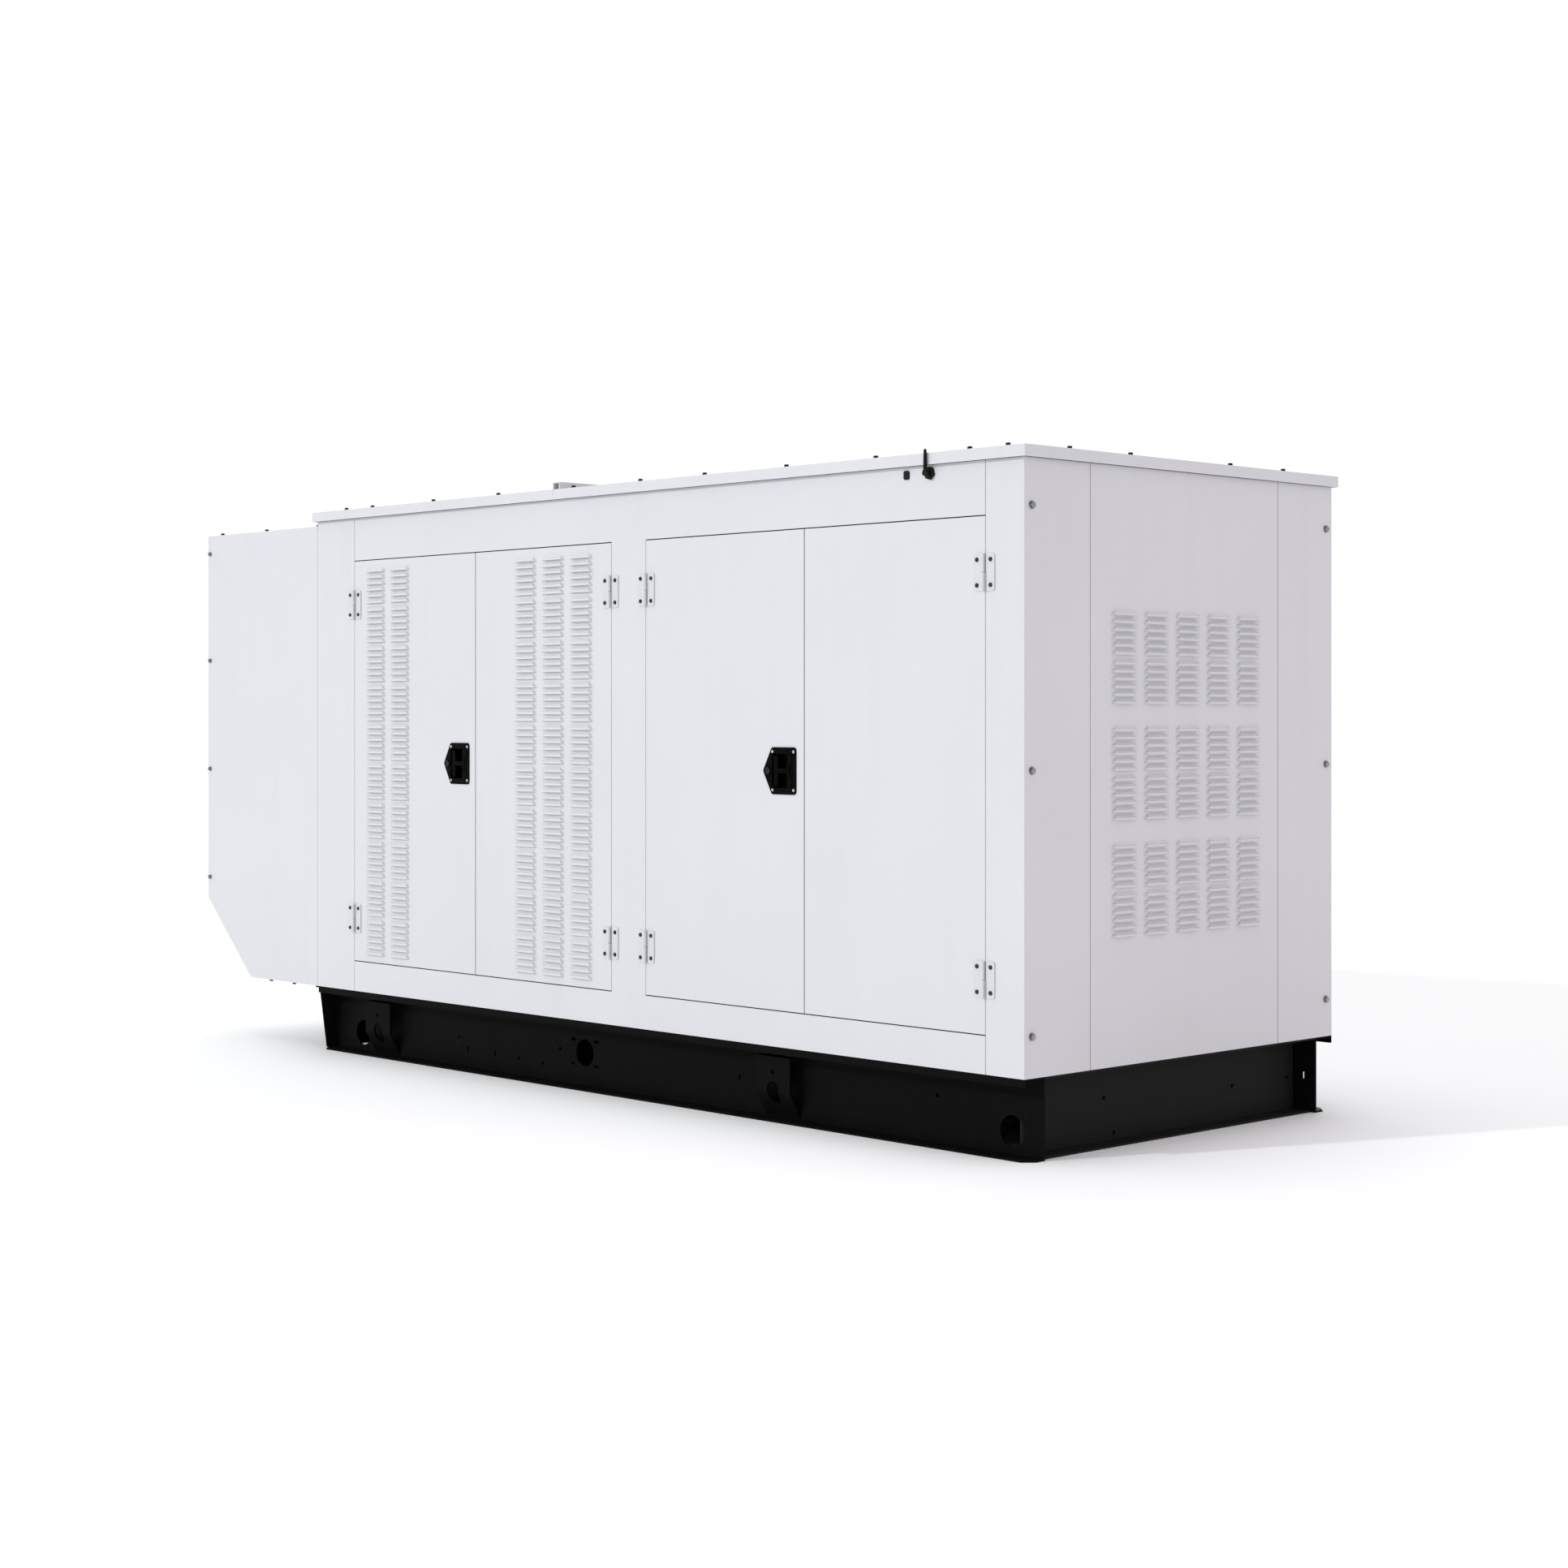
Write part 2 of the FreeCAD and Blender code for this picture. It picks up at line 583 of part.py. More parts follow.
# ------------------------------------------------------------------------------ hinges
def hinge_leaf(on_door):
    """Half of a lift-off hinge at the origin: the door's knuckle is on top of the frame's."""
    height, width, sheet_t = float(D.hinge_height), float(D.hinge_leaf), float(D.leaf_sheet)
    radius, offset = float(D.knuckle_radius), float(D.knuckle_offset)
    bore = float(D.pin_radius) + (float(D.pin_play) if on_door else 0)
    low = height / 2 + 0.2 if on_door else 0.0
    tall = height / 2 - 0.2
    leaf = Part.makeBox(width - 7, sheet_t, height, Vector(7, -sheet_t, 0))
    leaf = leaf.fuse(Part.makeBox(8, sheet_t, tall, Vector(0, -sheet_t, low)))
    leaf = leaf.fuse(Part.makeCylinder(radius, tall, Vector(0, -offset, low)))
    leaf = leaf.cut(Part.makeCylinder(bore, tall + 2, Vector(0, -offset, low - 1)))
    for z in (14, height - 14):
        hole = Part.makeCylinder(3.2, sheet_t + 2, Vector(width - 12, -sheet_t - 1, z),
                                 Vector(0, 1, 0))
        leaf = leaf.cut(hole)
    return leaf.removeSplitter().Solids[0]


def hinge_places():
    """Every hinged leaf: node, hinge line, side, and which way the leaf runs from it."""
    return [
        ("front_door_1", LEFT_PAIR_START, FRONT, 1), ("front_door_2", LEFT_PAIR_END, FRONT, -1),
        ("front_door_3", RIGHT_PAIR_START, FRONT, 1), ("front_door_4", RIGHT_PAIR_END, FRONT, -1),
        ("rear_door_1", RIGHT_PAIR_END, REAR, -1), ("rear_door_2", RIGHT_PAIR_START, REAR, 1),
    ]


def hinge_at(shape, x, side, way, z):
    """Put a hinge part, made at the origin running to +X on the front, in its place."""
    copy = shape.copy()
    if way < 0:
        copy = copy.mirror(Vector(), Vector(1, 0, 0))
    if side == REAR:
        copy = copy.mirror(Vector(), Vector(0, 1, 0))
    copy.translate(Vector(float(x), float(face_y(side, 0)), float(z)))
    return copy


def hinges():
    door_half, frame_half = hinge_leaf(True), hinge_leaf(False)
    pin = Part.makeCylinder(float(D.pin_radius), float(D.hinge_height) - 4,
                            Vector(0, -float(D.knuckle_offset), 2))
    frame_half = frame_half.fuse(pin).removeSplitter()
    frame_leaves = []
    for name, x, side, way in hinge_places():
        heights = [D.base_height + D.hinge_low, D.base_height + D.hinge_high]
        x = x + way * D.hinge_shift
        door_leaves = [hinge_at(door_half, x, side, way, z) for z in heights]
        shape_node(name + "_hinge_leaves", Part.makeCompound(door_leaves))
        frame_leaves += [hinge_at(frame_half, x, side, -way, z) for z in heights]
    shape_node("hinge_frame_leaves", Part.makeCompound(frame_leaves))


# ----------------------------------------------------------------------------- latches
LATCH_POINT_INSET, LATCH_PIVOT = 32.0, 33.0


def latch_pan():
    """Five-sided flange with a pocket behind it; the origin is the middle of the pocket."""
    size, flange = float(D.latch_size), float(D.latch_flange)
    width, height, depth = float(D.pocket_width), float(D.pocket_height), float(D.pocket_depth)
    wall, half = 2.0, float(D.latch_size) / 2
    left = -70.0
    right = left + size
    outline = [(left, 0), (left + LATCH_POINT_INSET, half), (right, half), (right, -half),
               (left + LATCH_POINT_INSET, -half)]
    plate = flat_face([(x, 0, z) for x, z in outline]).extrude(Vector(0, -flange, 0))
    upright = [edge for edge in plate.Edges if abs(edge.tangentAt(edge.FirstParameter).y) > 0.9]
    plate = plate.makeFillet(9, upright)
    shell = Part.makeBox(width + 2 * wall, depth, height + 2 * wall,
                         Vector(-width / 2 - wall, -0.5, -height / 2 - wall))
    hollow = Part.makeBox(width, depth + flange - wall, height,
                          Vector(-width / 2, -flange - 1, -height / 2))
    lock = Part.makeCylinder(9, 3, Vector(left + 17, -flange, 0), Vector(0, -1, 0))
    slot = Part.makeBox(2, 3, 10, Vector(left + 16, -flange - 3.5, -5))
    boss = Part.makeCylinder(float(D.handle_swing_radius), height, Vector(
        LATCH_PIVOT - 8, 7, -height / 2))
    body = plate.fuse([shell, lock]).cut(hollow).cut(slot).fuse(boss)
    return body.removeSplitter().Solids[0]


def latch_handle():
    """T-handle that lies in the pocket and swings out about the upright pivot pin."""
    pivot_x, radius = LATCH_PIVOT - 8, float(D.handle_swing_radius)
    grip = Part.makeBox(15, 8, 78, Vector(-32, -1.5, -39))
    grip = grip.makeFillet(3, grip.Edges)
    stem = Part.makeBox(pivot_x + 22, 7, 12, Vector(-22, -0.5, -6))
    eye = Part.makeCylinder(radius + 5, 16, Vector(pivot_x, 7, -8))
    handle = grip.fuse([stem, eye])
    bore = Part.makeCylinder(radius + float(D.pin_play), 20, Vector(pivot_x, 7, -10))
    return handle.cut(bore).removeSplitter().Solids[0]


def latches():
    low = D.base_height + D.latch_height
    inset = D.hinge_gap + latch_pocket_x()
    for name, x, side in (("front_left", LEFT_PAIR_START + inset, FRONT),
                          ("front_right", RIGHT_PAIR_START + inset, FRONT),
                          ("rear", RIGHT_PAIR_END - inset, REAR)):
        turn = 0 if side == FRONT else 180
        shape_node(name + "_latch_pan", latch_pan(), turn, x, face_y(side, 0), low)
        shape_node(name + "_latch_handle", latch_handle(), turn, x, face_y(side, 0), low)


# --------------------------------------------------------------- roof, hood and panels
def roof_panels():
    """Two shallow pans that meet at a raised seam; the fascia is their turned-down edge."""
    out, sheet_t = D.overhang, D.roof_sheet
    half = HALF_Y + out
    outline = [
        (-half, WALL_TOP), (-half, ROOF_TOP), (half, ROOF_TOP), (half, WALL_TOP),
        (half - sheet_t, WALL_TOP), (half - sheet_t, ROOF_TOP - sheet_t),
        (-half + sheet_t, ROOF_TOP - sheet_t), (-half + sheet_t, WALL_TOP),
    ]
    drop = D.fascia - sheet_t
    left_pan = prism("roof_left_pan", "YZ", outline, -HALF_X - out, SEAM_X + HALF_X + out - 1)
    left_end = box("roof_left_fascia", -HALF_X - out, -half, WALL_TOP, sheet_t, 2 * half, drop)
    keep("roof_left", fuse("roof_left", [left_pan, left_end]))
    right_pan = prism("roof_right_pan", "YZ", outline, SEAM_X, HALF_X + out - SEAM_X)
    right_end = box("roof_right_fascia", HALF_X + out - sheet_t, -half, WALL_TOP, sheet_t,
                    2 * half, drop)
    width, rise = D.seam_width, D.seam_rise
    ridge_outline = [
        (SEAM_X, ROOF_TOP - 1), (SEAM_X, ROOF_TOP + rise), (SEAM_X + width, ROOF_TOP + rise),
        (SEAM_X + width, ROOF_TOP - 1), (SEAM_X + width - sheet_t, ROOF_TOP - 1),
        (SEAM_X + width - sheet_t, ROOF_TOP + rise - sheet_t),
        (SEAM_X + sheet_t, ROOF_TOP + rise - sheet_t), (SEAM_X + sheet_t, ROOF_TOP - 1),
    ]
    ridge = prism("roof_right_ridge", "XZ", ridge_outline, -half, 2 * half)
    keep("roof_right", fuse("roof_right", [right_pan, right_end, ridge]))


def discharge_hood():
    """Scoop on the left end that turns the cooling air upwards through its open top."""
    sheet_t = D.skin
    top = D.base_height + D.hood_height
    bend = D.base_height + D.hood_break
    root = -HALF_X - D.hood_gap
    outer = prism("hood_outer", "XZ", [
        (root, D.base_height), (root, top), (HOOD_END, top), (HOOD_END, bend),
        (-HALF_X - D.hood_foot, D.base_height)], -HALF_Y, D.body_width)
    inner = prism("hood_inner", "XZ", [
        (-HALF_X + 2, D.base_height + sheet_t), (-HALF_X + 2, top - sheet_t),
        (HOOD_END + sheet_t, top - sheet_t), (HOOD_END + sheet_t, bend + 1),
        (-HALF_X - D.hood_foot + 1.5, D.base_height + sheet_t)],
        -HALF_Y + sheet_t, D.body_width - 2 * sheet_t)
    lip = D.hood_lip
    outlet = box("hood_outlet", HOOD_END + lip, -HALF_Y + lip, top - 10,
                 D.hood_length - 2 * lip, D.body_width - 2 * lip, 20)
    keep("discharge_hood", cut("discharge_hood", outer, [inner, outlet]))


def hood_guard_bars():
    """Round guard bars across the hood's open top, under its lip."""
    height = D.base_height + D.hood_height - D.skin - D.guard_radius
    start = HOOD_END + D.skin
    length = D.hood_length - D.skin - 4
    bars = [rod("guard_bar_%d" % index, "X", start, index * D.guard_pitch, height,
                D.guard_radius, length) for index in range(-3, 4)]
    keep("hood_guard_bars", group("hood_guard_bars", bars))


def radiator_bulkhead():
    """Wall between cabin and hood, cut out for the radiator core and the exhaust pipe."""
    half = HALF_Y - 62
    plate = box("bulkhead_plate", -HALF_X, -half, D.base_height, D.roof_sheet, 2 * half,
                D.wall_height)
    window = box("bulkhead_window", -HALF_X - 5, -D.radiator_half + 30, D.radiator_low + 40, 20,
                 2 * D.radiator_half - 60, D.radiator_tall - 90)
    pipe = rod("bulkhead_pipe_hole", "X", -HALF_X - 5, 0, D.muffler_height, 45, 20)
    keep("radiator_bulkhead", cut("radiator_bulkhead", plate, [window, pipe]))


# --------------------------------------------------------------------------- fasteners
def hex_bolt(width, height, washer):
    """Hexagon head on a round washer, standing on z = 0."""
    radius = width / math.sqrt(3)
    corners = [(radius * math.cos(math.radians(60 * turn)),
                radius * math.sin(math.radians(60 * turn)), 1.2) for turn in range(6)]
    head = flat_face(corners).extrude(Vector(0, 0, height - 1.2))
    return head.fuse(Part.makeCylinder(washer, 1.2)).removeSplitter()


def aimed(shape, direction, x, y, z):
    """Turn a bolt so that its head points along a direction, and move it to a point."""
    copy = shape.copy()
    turn = Rotation(Vector(0, 0, 1), Vector(*direction))
    copy.Placement = Placement(Vector(float(x), float(y), float(z)), turn)
    return copy


def enclosure_bolts():
    """Every visible screw head of the roof, hood, end and rear panels, and the hole plug."""
    small, large = hex_bolt(11, 8, 8), hex_bolt(14, 8, 10.5)
    up, down, left, front, rear = (0, 0, 1), (0, 0, -1), (-1, 0, 0), (0, -1, 0), (0, 1, 0)
    right = (1, 0, 0)
    places = []
    edge = 6
    for inset in (56, 180, 499, 824, 1143, 1409, 1701, 2051, 2372, 2692, 2834):
        for side in (FRONT, REAR):
            places.append((up, HALF_X - inset, face_y(side, edge), ROOF_TOP))
    for across in (-455, -222, 186, 416):
        places.append((up, HALF_X - 6, across, ROOF_TOP))
        places.append((up, -HALF_X + 6, across, ROOF_TOP))
    heads = [aimed(large, right, HALF_X, face_y(side, 27), height)
             for height in (302, 936, 1570) for side in (FRONT, REAR)]
    hood_top = D.base_height + D.hood_height
    for height in (522, 886, 1250, 1609):
        for side in (FRONT, REAR):
            places.append((front if side == FRONT else rear, HOOD_END + 14, face_y(side, 0),
                           height))
    for x in (HOOD_END + 60, HOOD_END + 330, HOOD_END + 632):
        for side in (FRONT, REAR):
            places.append((up, x, face_y(side, 20), hood_top))
    for x in (-HALF_X - 300, -HALF_X - 165, -HALF_X - 30):
        for side in (FRONT, REAR):
            places.append((down, x, face_y(side, 20), D.base_height))
    for height in (380, 740, 1100, 1460):
        for x in (LEFT_PAIR_START + 25, LEFT_PAIR_END - 25):
            places.append((rear, x, HALF_Y, height))
    plug = Part.makeBox(18, 3, 22, Vector(float(D.antenna_x) - 88, -float(HALF_Y) - 3,
                                          float(D.antenna_z) - 11))
    plug = plug.makeFillet(1.4, plug.Edges)
    heads += [aimed(small, *place) for place in places]
    shape_node("enclosure_bolts", Part.makeCompound(heads + [plug]))


# ----------------------------------------------------------------- antenna and handles
def antenna():
    """Stub antenna on a hexagonal header fitting; it tilts about the fitting's axis."""
    x, z = float(D.antenna_x), float(D.antenna_z)
    face = -float(HALF_Y)
    radius = 17.0
    corners = [(x + radius * math.cos(math.radians(60 * turn)), face,
                z + radius * math.sin(math.radians(60 * turn))) for turn in range(6)]
    nut = flat_face(corners).extrude(Vector(0, -7, 0))
    stud = Part.makeCylinder(4, 20, Vector(x, face + 12, z), Vector(0, -1, 0))
    spigot = Part.makeCylinder(5, 6, Vector(x, face - 7, z), Vector(0, -1, 0))
    pivot = Part.makeCylinder(3, 12, Vector(x, face - 10, z), Vector(0, -1, 0))
    shape_node("antenna_mount", nut.fuse([stud, spigot, pivot]).removeSplitter())
    hub = Part.makeCylinder(8, 8.5, Vector(x, face - 14, z), Vector(0, -1, 0))
    whip = Part.makeCone(4.6, 3.8, 52, Vector(x, face - 19, z + 5))
    tip = Part.makeSphere(3.8, Vector(x, face - 19, z + 57))
    bore = Part.makeCylinder(3.06, 9, Vector(x, face - 13.5, z), Vector(0, -1, 0))
    shape_node("antenna", hub.fuse([whip, tip]).cut(bore).removeSplitter())


# ------------------------------------------------------------------ engine and exhaust
def engine_block():
    """Vee engine block with its heads and bell housing, as one casting outline."""
    half, low = D.block_half, D.shaft_height - 120
    deck, wide = D.shaft_height + 330, D.block_half + 120
    outline = [
        (-half, low), (half, low), (half, D.shaft_height + 60), (wide, D.shaft_height + 250),
        (wide - 110, deck + 30), (60, D.shaft_height + 190), (-60, D.shaft_height + 190),
        (-wide + 110, deck + 30), (-wide, D.shaft_height + 250), (-half, D.shaft_height + 60),
    ]
    block = prism("engine_casting", "YZ", outline, D.block_left, D.block_length)
    crankcase = rod("engine_crankcase", "X", D.block_left + 30, 0, D.shaft_height, 138,
                    D.block_length - 60)
    bell = doc.addObject("Part::Cone", "bell_housing")
    bell.Placement = Placement(Vector(), TURN["X"])
    bind(bell, Radius1=D.head_radius - 75, Radius2=D.head_radius - 5,
         Height=D.head_left - D.block_left - D.block_length)
    place(bell, D.block_left + D.block_length, 0, D.shaft_height)
    sump_way = box("engine_sump_way", D.block_left + 60, -100, D.shaft_height - 130,
                   D.block_length - 120, 200, 60)
    keep("engine_block", cut("engine_block", block, [crankcase, sump_way]))
    return bell


def oil_pan():
    outline = [(-150, 330), (150, 330), (165, 440), (-165, 440)]
    pan = prism("oil_pan_outer", "YZ", outline, D.block_left + 20, D.block_length - 40)
    inside = box("oil_pan_inside", D.block_left + 40, -130, 350, D.block_length - 80, 260, 85)
    keep("oil_pan", cut("oil_pan", pan, [inside]))


def valve_covers():
    """One ribbed cover on each bank."""
    covers = []
    for side in (-1, 1):
        rise = D.shaft_height + 250
        outline = [
            (side * 290, rise), (side * 180, rise + 110), (side * 215, rise + 145),
            (side * 255, rise + 140), (side * 330, rise + 65), (side * 325, rise + 35),
        ]
        covers.append(prism("valve_cover_%d" % side, "YZ", outline, D.block_left + 30,
                            D.block_length - 60))
    keep("valve_covers", group("valve_covers", covers))


def air_cleaner():
    """Round air cleaner on the intake plenum between the banks."""
    plenum = box("plenum", -1000, -55, D.shaft_height + 190, 460, 110, 130)
    neck = rod("intake_neck", "Z", -770, 0, D.shaft_height + 320, 55, 120)
    can = rod("cleaner_can", "X", -900, 0, D.shaft_height + 530, 120, 360)
    cap = rod("cleaner_cap", "X", -545, 0, D.shaft_height + 530, 126, 18)
    snout = rod("cleaner_snout", "X", -960, 0, D.shaft_height + 530, 70, 70)
    keep("air_cleaner", fuse("air_cleaner", [plenum, neck, can, cap, snout]))


def exhaust_system():
    """Manifold on each bank, risers, and a hollow muffler whose pipe leads into the hood."""
    parts = []
    log_y, log_z = D.manifold_out, D.shaft_height + 190
    riser_x = D.block_left + 110
    for side in (-1, 1):
        parts.append(rod("manifold_%d" % side, "X", D.block_left + 60, side * log_y, log_z, 32,
                         640))
        for index in range(4):
            port_y = 270 if side > 0 else -log_y
            parts.append(rod("port_%d_%d" % (side, index), "Y", D.block_left + 130 + 165 * index,
                             port_y, log_z, 24, log_y - 270))
        parts.append(rod("riser_%d" % side, "Z", riser_x, side * log_y, log_z, 30,
                         D.muffler_height - log_z))
        parts.append(rod("crossover_%d" % side, "Y", riser_x, -log_y if side < 0 else 60,
                         D.muffler_height, 30, log_y - 60))
    parts.append(rod("muffler_can", "X", D.block_left + 60, 0, D.muffler_height,
                     D.muffler_radius, 800))
    parts.append(rod("tail_pipe", "X", -HALF_X - 160, 0, D.muffler_height, 38, 590))
    chamber = rod("muffler_chamber", "X", D.block_left + 64, 0, D.muffler_height,
                  D.muffler_radius - 4, 792)
    throat = rod("tail_pipe_bore", "X", -HALF_X - 162, 0, D.muffler_height, 34, 600)
    keep("exhaust_system", cut("exhaust_system", fuse("exhaust_solid", parts), [chamber, throat]))


def radiator():
    """Core with top and bottom tanks and side channels."""
    left, half = D.radiator_left, D.radiator_half
    low, tall = D.radiator_low, D.radiator_tall
    core = box("radiator_core", left + 20, -half + 20, low + 60, D.radiator_depth - 40,
               2 * half - 40, tall - 120)
    top = box("radiator_top", left, -half, low + tall - 70, D.radiator_depth, 2 * half, 70)
    foot = box("radiator_foot", left, -half, low, D.radiator_depth, 2 * half, 70)
    sides = [box("radiator_side_%d" % side, left, -half if side < 0 else half - 25, low,
                 D.radiator_depth, 25, tall) for side in (-1, 1)]
    legs = [box("radiator_leg_%d" % side, left, -half if side < 0 else half - 60, D.base_height,
                D.radiator_depth, 60, D.radiator_low - D.base_height) for side in (-1, 1)]
    keep("radiator", fuse("radiator", [core, top, foot] + sides + legs))


def fan():
    """Six-blade pusher fan and its pulley, in one piece on the fan bearing."""
    left, width, height = float(D.fan_left), float(D.fan_width), float(D.fan_height)
    axis = Vector(1, 0, 0)
    hub = Part.makeCylinder(float(D.hub_radius), width, Vector(left, 0, height), axis)
    neck = Part.makeCylinder(30, float(D.pulley_left) - left - width + 4,
                             Vector(left + width - 2, 0, height), axis)
    pulley = v_pulley(float(D.fan_pulley_radius), height)
    blade = Part.makeBox(5, 150, float(D.fan_radius) - 45, Vector(-2.5, -75, 40))
    blade.rotate(Vector(), Vector(0, 0, 1), 62)
    blades = []
    for index in range(6):
        turned = blade.copy()
        turned.rotate(Vector(), axis, 60 * index)
        turned.translate(Vector(left + width / 2, 0, height))
        blades.append(turned)
    bore = Part.makeCylinder(float(D.stub_radius + D.stub_play), 60,
                             Vector(float(D.pulley_left) + 6, 0, height), axis)
    whole = hub.fuse([neck, pulley] + blades).cut(bore)
    shape_node("fan", whole.removeSplitter())


def v_pulley(radius, height):
    """Pulley with one V groove, on the belt's plane."""
    left, width = float(D.pulley_left), float(D.pulley_width)
    section = [(left, 0, 0), (left, 0, radius), (left + 6, 0, radius), (left + 12, 0, radius - 13),
               (left + width - 12, 0, radius - 13), (left + width - 6, 0, radius),
               (left + width, 0, radius), (left + width, 0, 0)]
    wheel = flat_face(section).revolve(Vector(), Vector(1, 0, 0), 360)
    wheel.translate(Vector(0, 0, height))
    return wheel


def belt_drive():
    """Crankshaft pulley, the stub shafts that both pulleys turn on, and the belt."""
    axis = Vector(1, 0, 0)
    right = float(D.pulley_left + D.pulley_width)
    low, high = float(D.shaft_height), float(D.fan_height)
    stub = float(D.stub_radius)
    pulley = v_pulley(float(D.crank_pulley_radius), low)
    bore = Part.makeCylinder(stub + float(D.stub_play), 60,
                             Vector(float(D.pulley_left) + 6, 0, low), axis)
    shape_node("crank_pulley", pulley.cut(bore))
    stubs = []
    for height, reach in ((low, float(D.block_left)), (high, float(D.block_left) - 4)):
        start = float(D.pulley_left) + 8
        stubs.append(Part.makeCylinder(stub, reach - start, Vector(start, 0, height), axis))
    bracket = Part.makeBox(24, 90, 250, Vector(float(D.block_left) - 28, -45, high - 190))
    lug = Part.makeBox(28, 90, 60, Vector(float(D.block_left) - 28, -45, high - 190))
    bearing = bracket.fuse([stubs[1], lug]).removeSplitter()
    shape_node("pulley_stubs", Part.makeCompound([bearing, stubs[0]]))
    start = (float(D.pulley_left) + right) / 2 - 4.5
    radii = (float(D.fan_pulley_radius), float(D.crank_pulley_radius))
    loop = belt_loop(start, radii[0] + 3.5, radii[1] + 3.5, low, high)
    gap = belt_loop(start, radii[0] - 7, radii[1] - 7, low, high)
    shape_node("drive_belt", loop.extrude(Vector(9, 0, 0)).cut(gap.extrude(Vector(9, 0, 0))))


def belt_loop(x, top_radius, low_radius, low, high):
    """Outline of a belt round two pulleys, one above the other, in the plane of one X."""
    lean = math.asin((low_radius - top_radius) / (high - low))
    side_y, side_z = math.cos(lean), math.sin(lean)

    def on_pulley(radius, height, way):
        return Vector(x, way * radius * side_y, height + radius * side_z)

    top_left, top_right = on_pulley(top_radius, high, -1), on_pulley(top_radius, high, 1)
    low_left, low_right = on_pulley(low_radius, low, -1), on_pulley(low_radius, low, 1)
    over = Part.Arc(top_left, Vector(x, 0, high + top_radius), top_right).toShape()
    under = Part.Arc(low_right, Vector(x, 0, low - low_radius), low_left).toShape()
    sides = [Part.makeLine(top_right, low_right), Part.makeLine(low_left, top_left)]
    return Part.Face(Part.Wire([over, sides[0], under, sides[1]]))


# ---------------------------------------------------------------- generator and supply
def generator_head(bell):
    """Generator barrel with a vented end bell and the terminal box on top."""
    left, length, radius = D.head_left, D.head_length, D.head_radius
    barrel = rod("generator_barrel", "X", left, 0, D.shaft_height, radius, length)
    end_bell = rod("generator_end", "X", left + length, 0, D.shaft_height, radius - 60, 70)
    feet = []
    for x in (left + 60, left + length - 160):
        for side in (-1, 1):
            y = side * 230 - 40
            feet.append(box("generator_foot", x, y, D.base_height + 30, 100, 80,
                            D.shaft_height - D.base_height - 130))
    terminal = box("terminal_box", left + 300, -150, D.shaft_height + radius - 30, 330, 300, 150)
    solid = fuse("generator_solid", [barrel, end_bell, terminal, bell] + feet)
    bore = rod("generator_bore", "X", left + 40, 0, D.shaft_height, radius - 45, length - 70)
    cooling = rod("generator_vent", "X", left + length - 40, 0, D.shaft_height, 90, 120)
    inside = box("terminal_inside", left + 304, -146, D.shaft_height + radius - 60, 322, 292, 176)
    keep("generator_head", cut("generator_head", solid, [bore, cooling, inside]))


def isolation_mounts():
    """Rubber feet under the engine and the generator head."""
    mounts = []
    for x in (-1050, -480):
        for side in (-1, 1):
            mounts.append(rod("engine_mount", "Z", x, side * 150, D.base_height, 40, 128))
    for x in (D.head_left + 110, D.head_left + D.head_length - 110):
        for side in (-1, 1):
            mounts.append(rod("generator_mount", "Z", x, side * 230, D.base_height, 38, 30))
    keep("isolation_mounts", group("isolation_mounts", mounts))


def control_cabinet():
    """Control cabinet that faces the front doors, with its breaker and two legs."""
    left, low = D.cabinet_left, D.cabinet_low
    front = -HALF_Y + D.cabinet_inset
    body = box("cabinet_body", left, front, low, D.cabinet_length, D.cabinet_depth,
               D.cabinet_tall)
    legs = [box("cabinet_leg_%d" % index, left + offset, front + 60, D.base_height, 40, 40,
                low - D.base_height) for index, offset in enumerate((10, D.cabinet_length - 50))]
    screen = box("cabinet_bezel", left + 60, front - 8, low + 330, 230, 12, 160)
    breaker = box("breaker_block", left + 60, front - 40, low + 60, 130, 44, 190)
    slot = box("breaker_slot", left + 113, front - 42, low + 115, 24, 40, 80)
    button_hole = rod("button_hole", "Y", left + 380, front - 20, low + 410, 8.06, 46)
    pivot_x, pivot_y, pivot_z = left + 125, front - 14, low + 155
    pin = rod("breaker_pin", "X", pivot_x - 14, pivot_y, pivot_z, 3, 28)
    inside = box("cabinet_inside", left + 3, front + 3, low + 3, D.cabinet_length - 6,
                 D.cabinet_depth, D.cabinet_tall - 6)
    guide = rod("button_guide", "Y", left + 380, front - 1, low + 410, 14, 30)
    shell = cut("cabinet_shell", fuse("cabinet_solid", [body] + legs), [inside])
    shape = cut("cabinet_drilled", fuse("cabinet_whole", [shell, screen, breaker, guide]),
                [slot, button_hole])
    keep("control_cabinet", fuse("control_cabinet", [shape, pin]))
    arm = box("breaker_arm", pivot_x - 8, pivot_y - 44, pivot_z - 6, 16, 44, 12)
    eye = rod("breaker_eye", "X", pivot_x - 8, pivot_y, pivot_z, 10, 16)
    hole = rod("breaker_bore", "X", pivot_x - 12, pivot_y, pivot_z, 3.06, 24)
    keep("breaker_lever", cut("breaker_lever", fuse("breaker_body", [arm, eye]), [hole]))
    stem = rod("button_stem", "Y", left + 380, front - 22, low + 410, 8, 36)
    head = rod("button_head", "Y", left + 380, front - 34, low + 410, 20, 14)
    keep("stop_button", fuse("stop_button", [stem, head]))


def battery():
    """Starting battery with its lid and two posts, on a tray across two members."""
    tray = box("battery_tray", 810, -300, D.base_height, 460, 200, 3)
    case = box("battery_case", 875, -290, D.base_height + 2, 330, 180, 190)
    lid = box("battery_lid", 870, -295, D.base_height + 190, 340, 190, 25)
    posts = [rod("battery_post_%d" % x, "Z", x, -260, D.base_height + 215, 9, 18)
             for x in (920, 1160)]
    keep("battery", fuse("battery", [tray, case, lid] + posts))


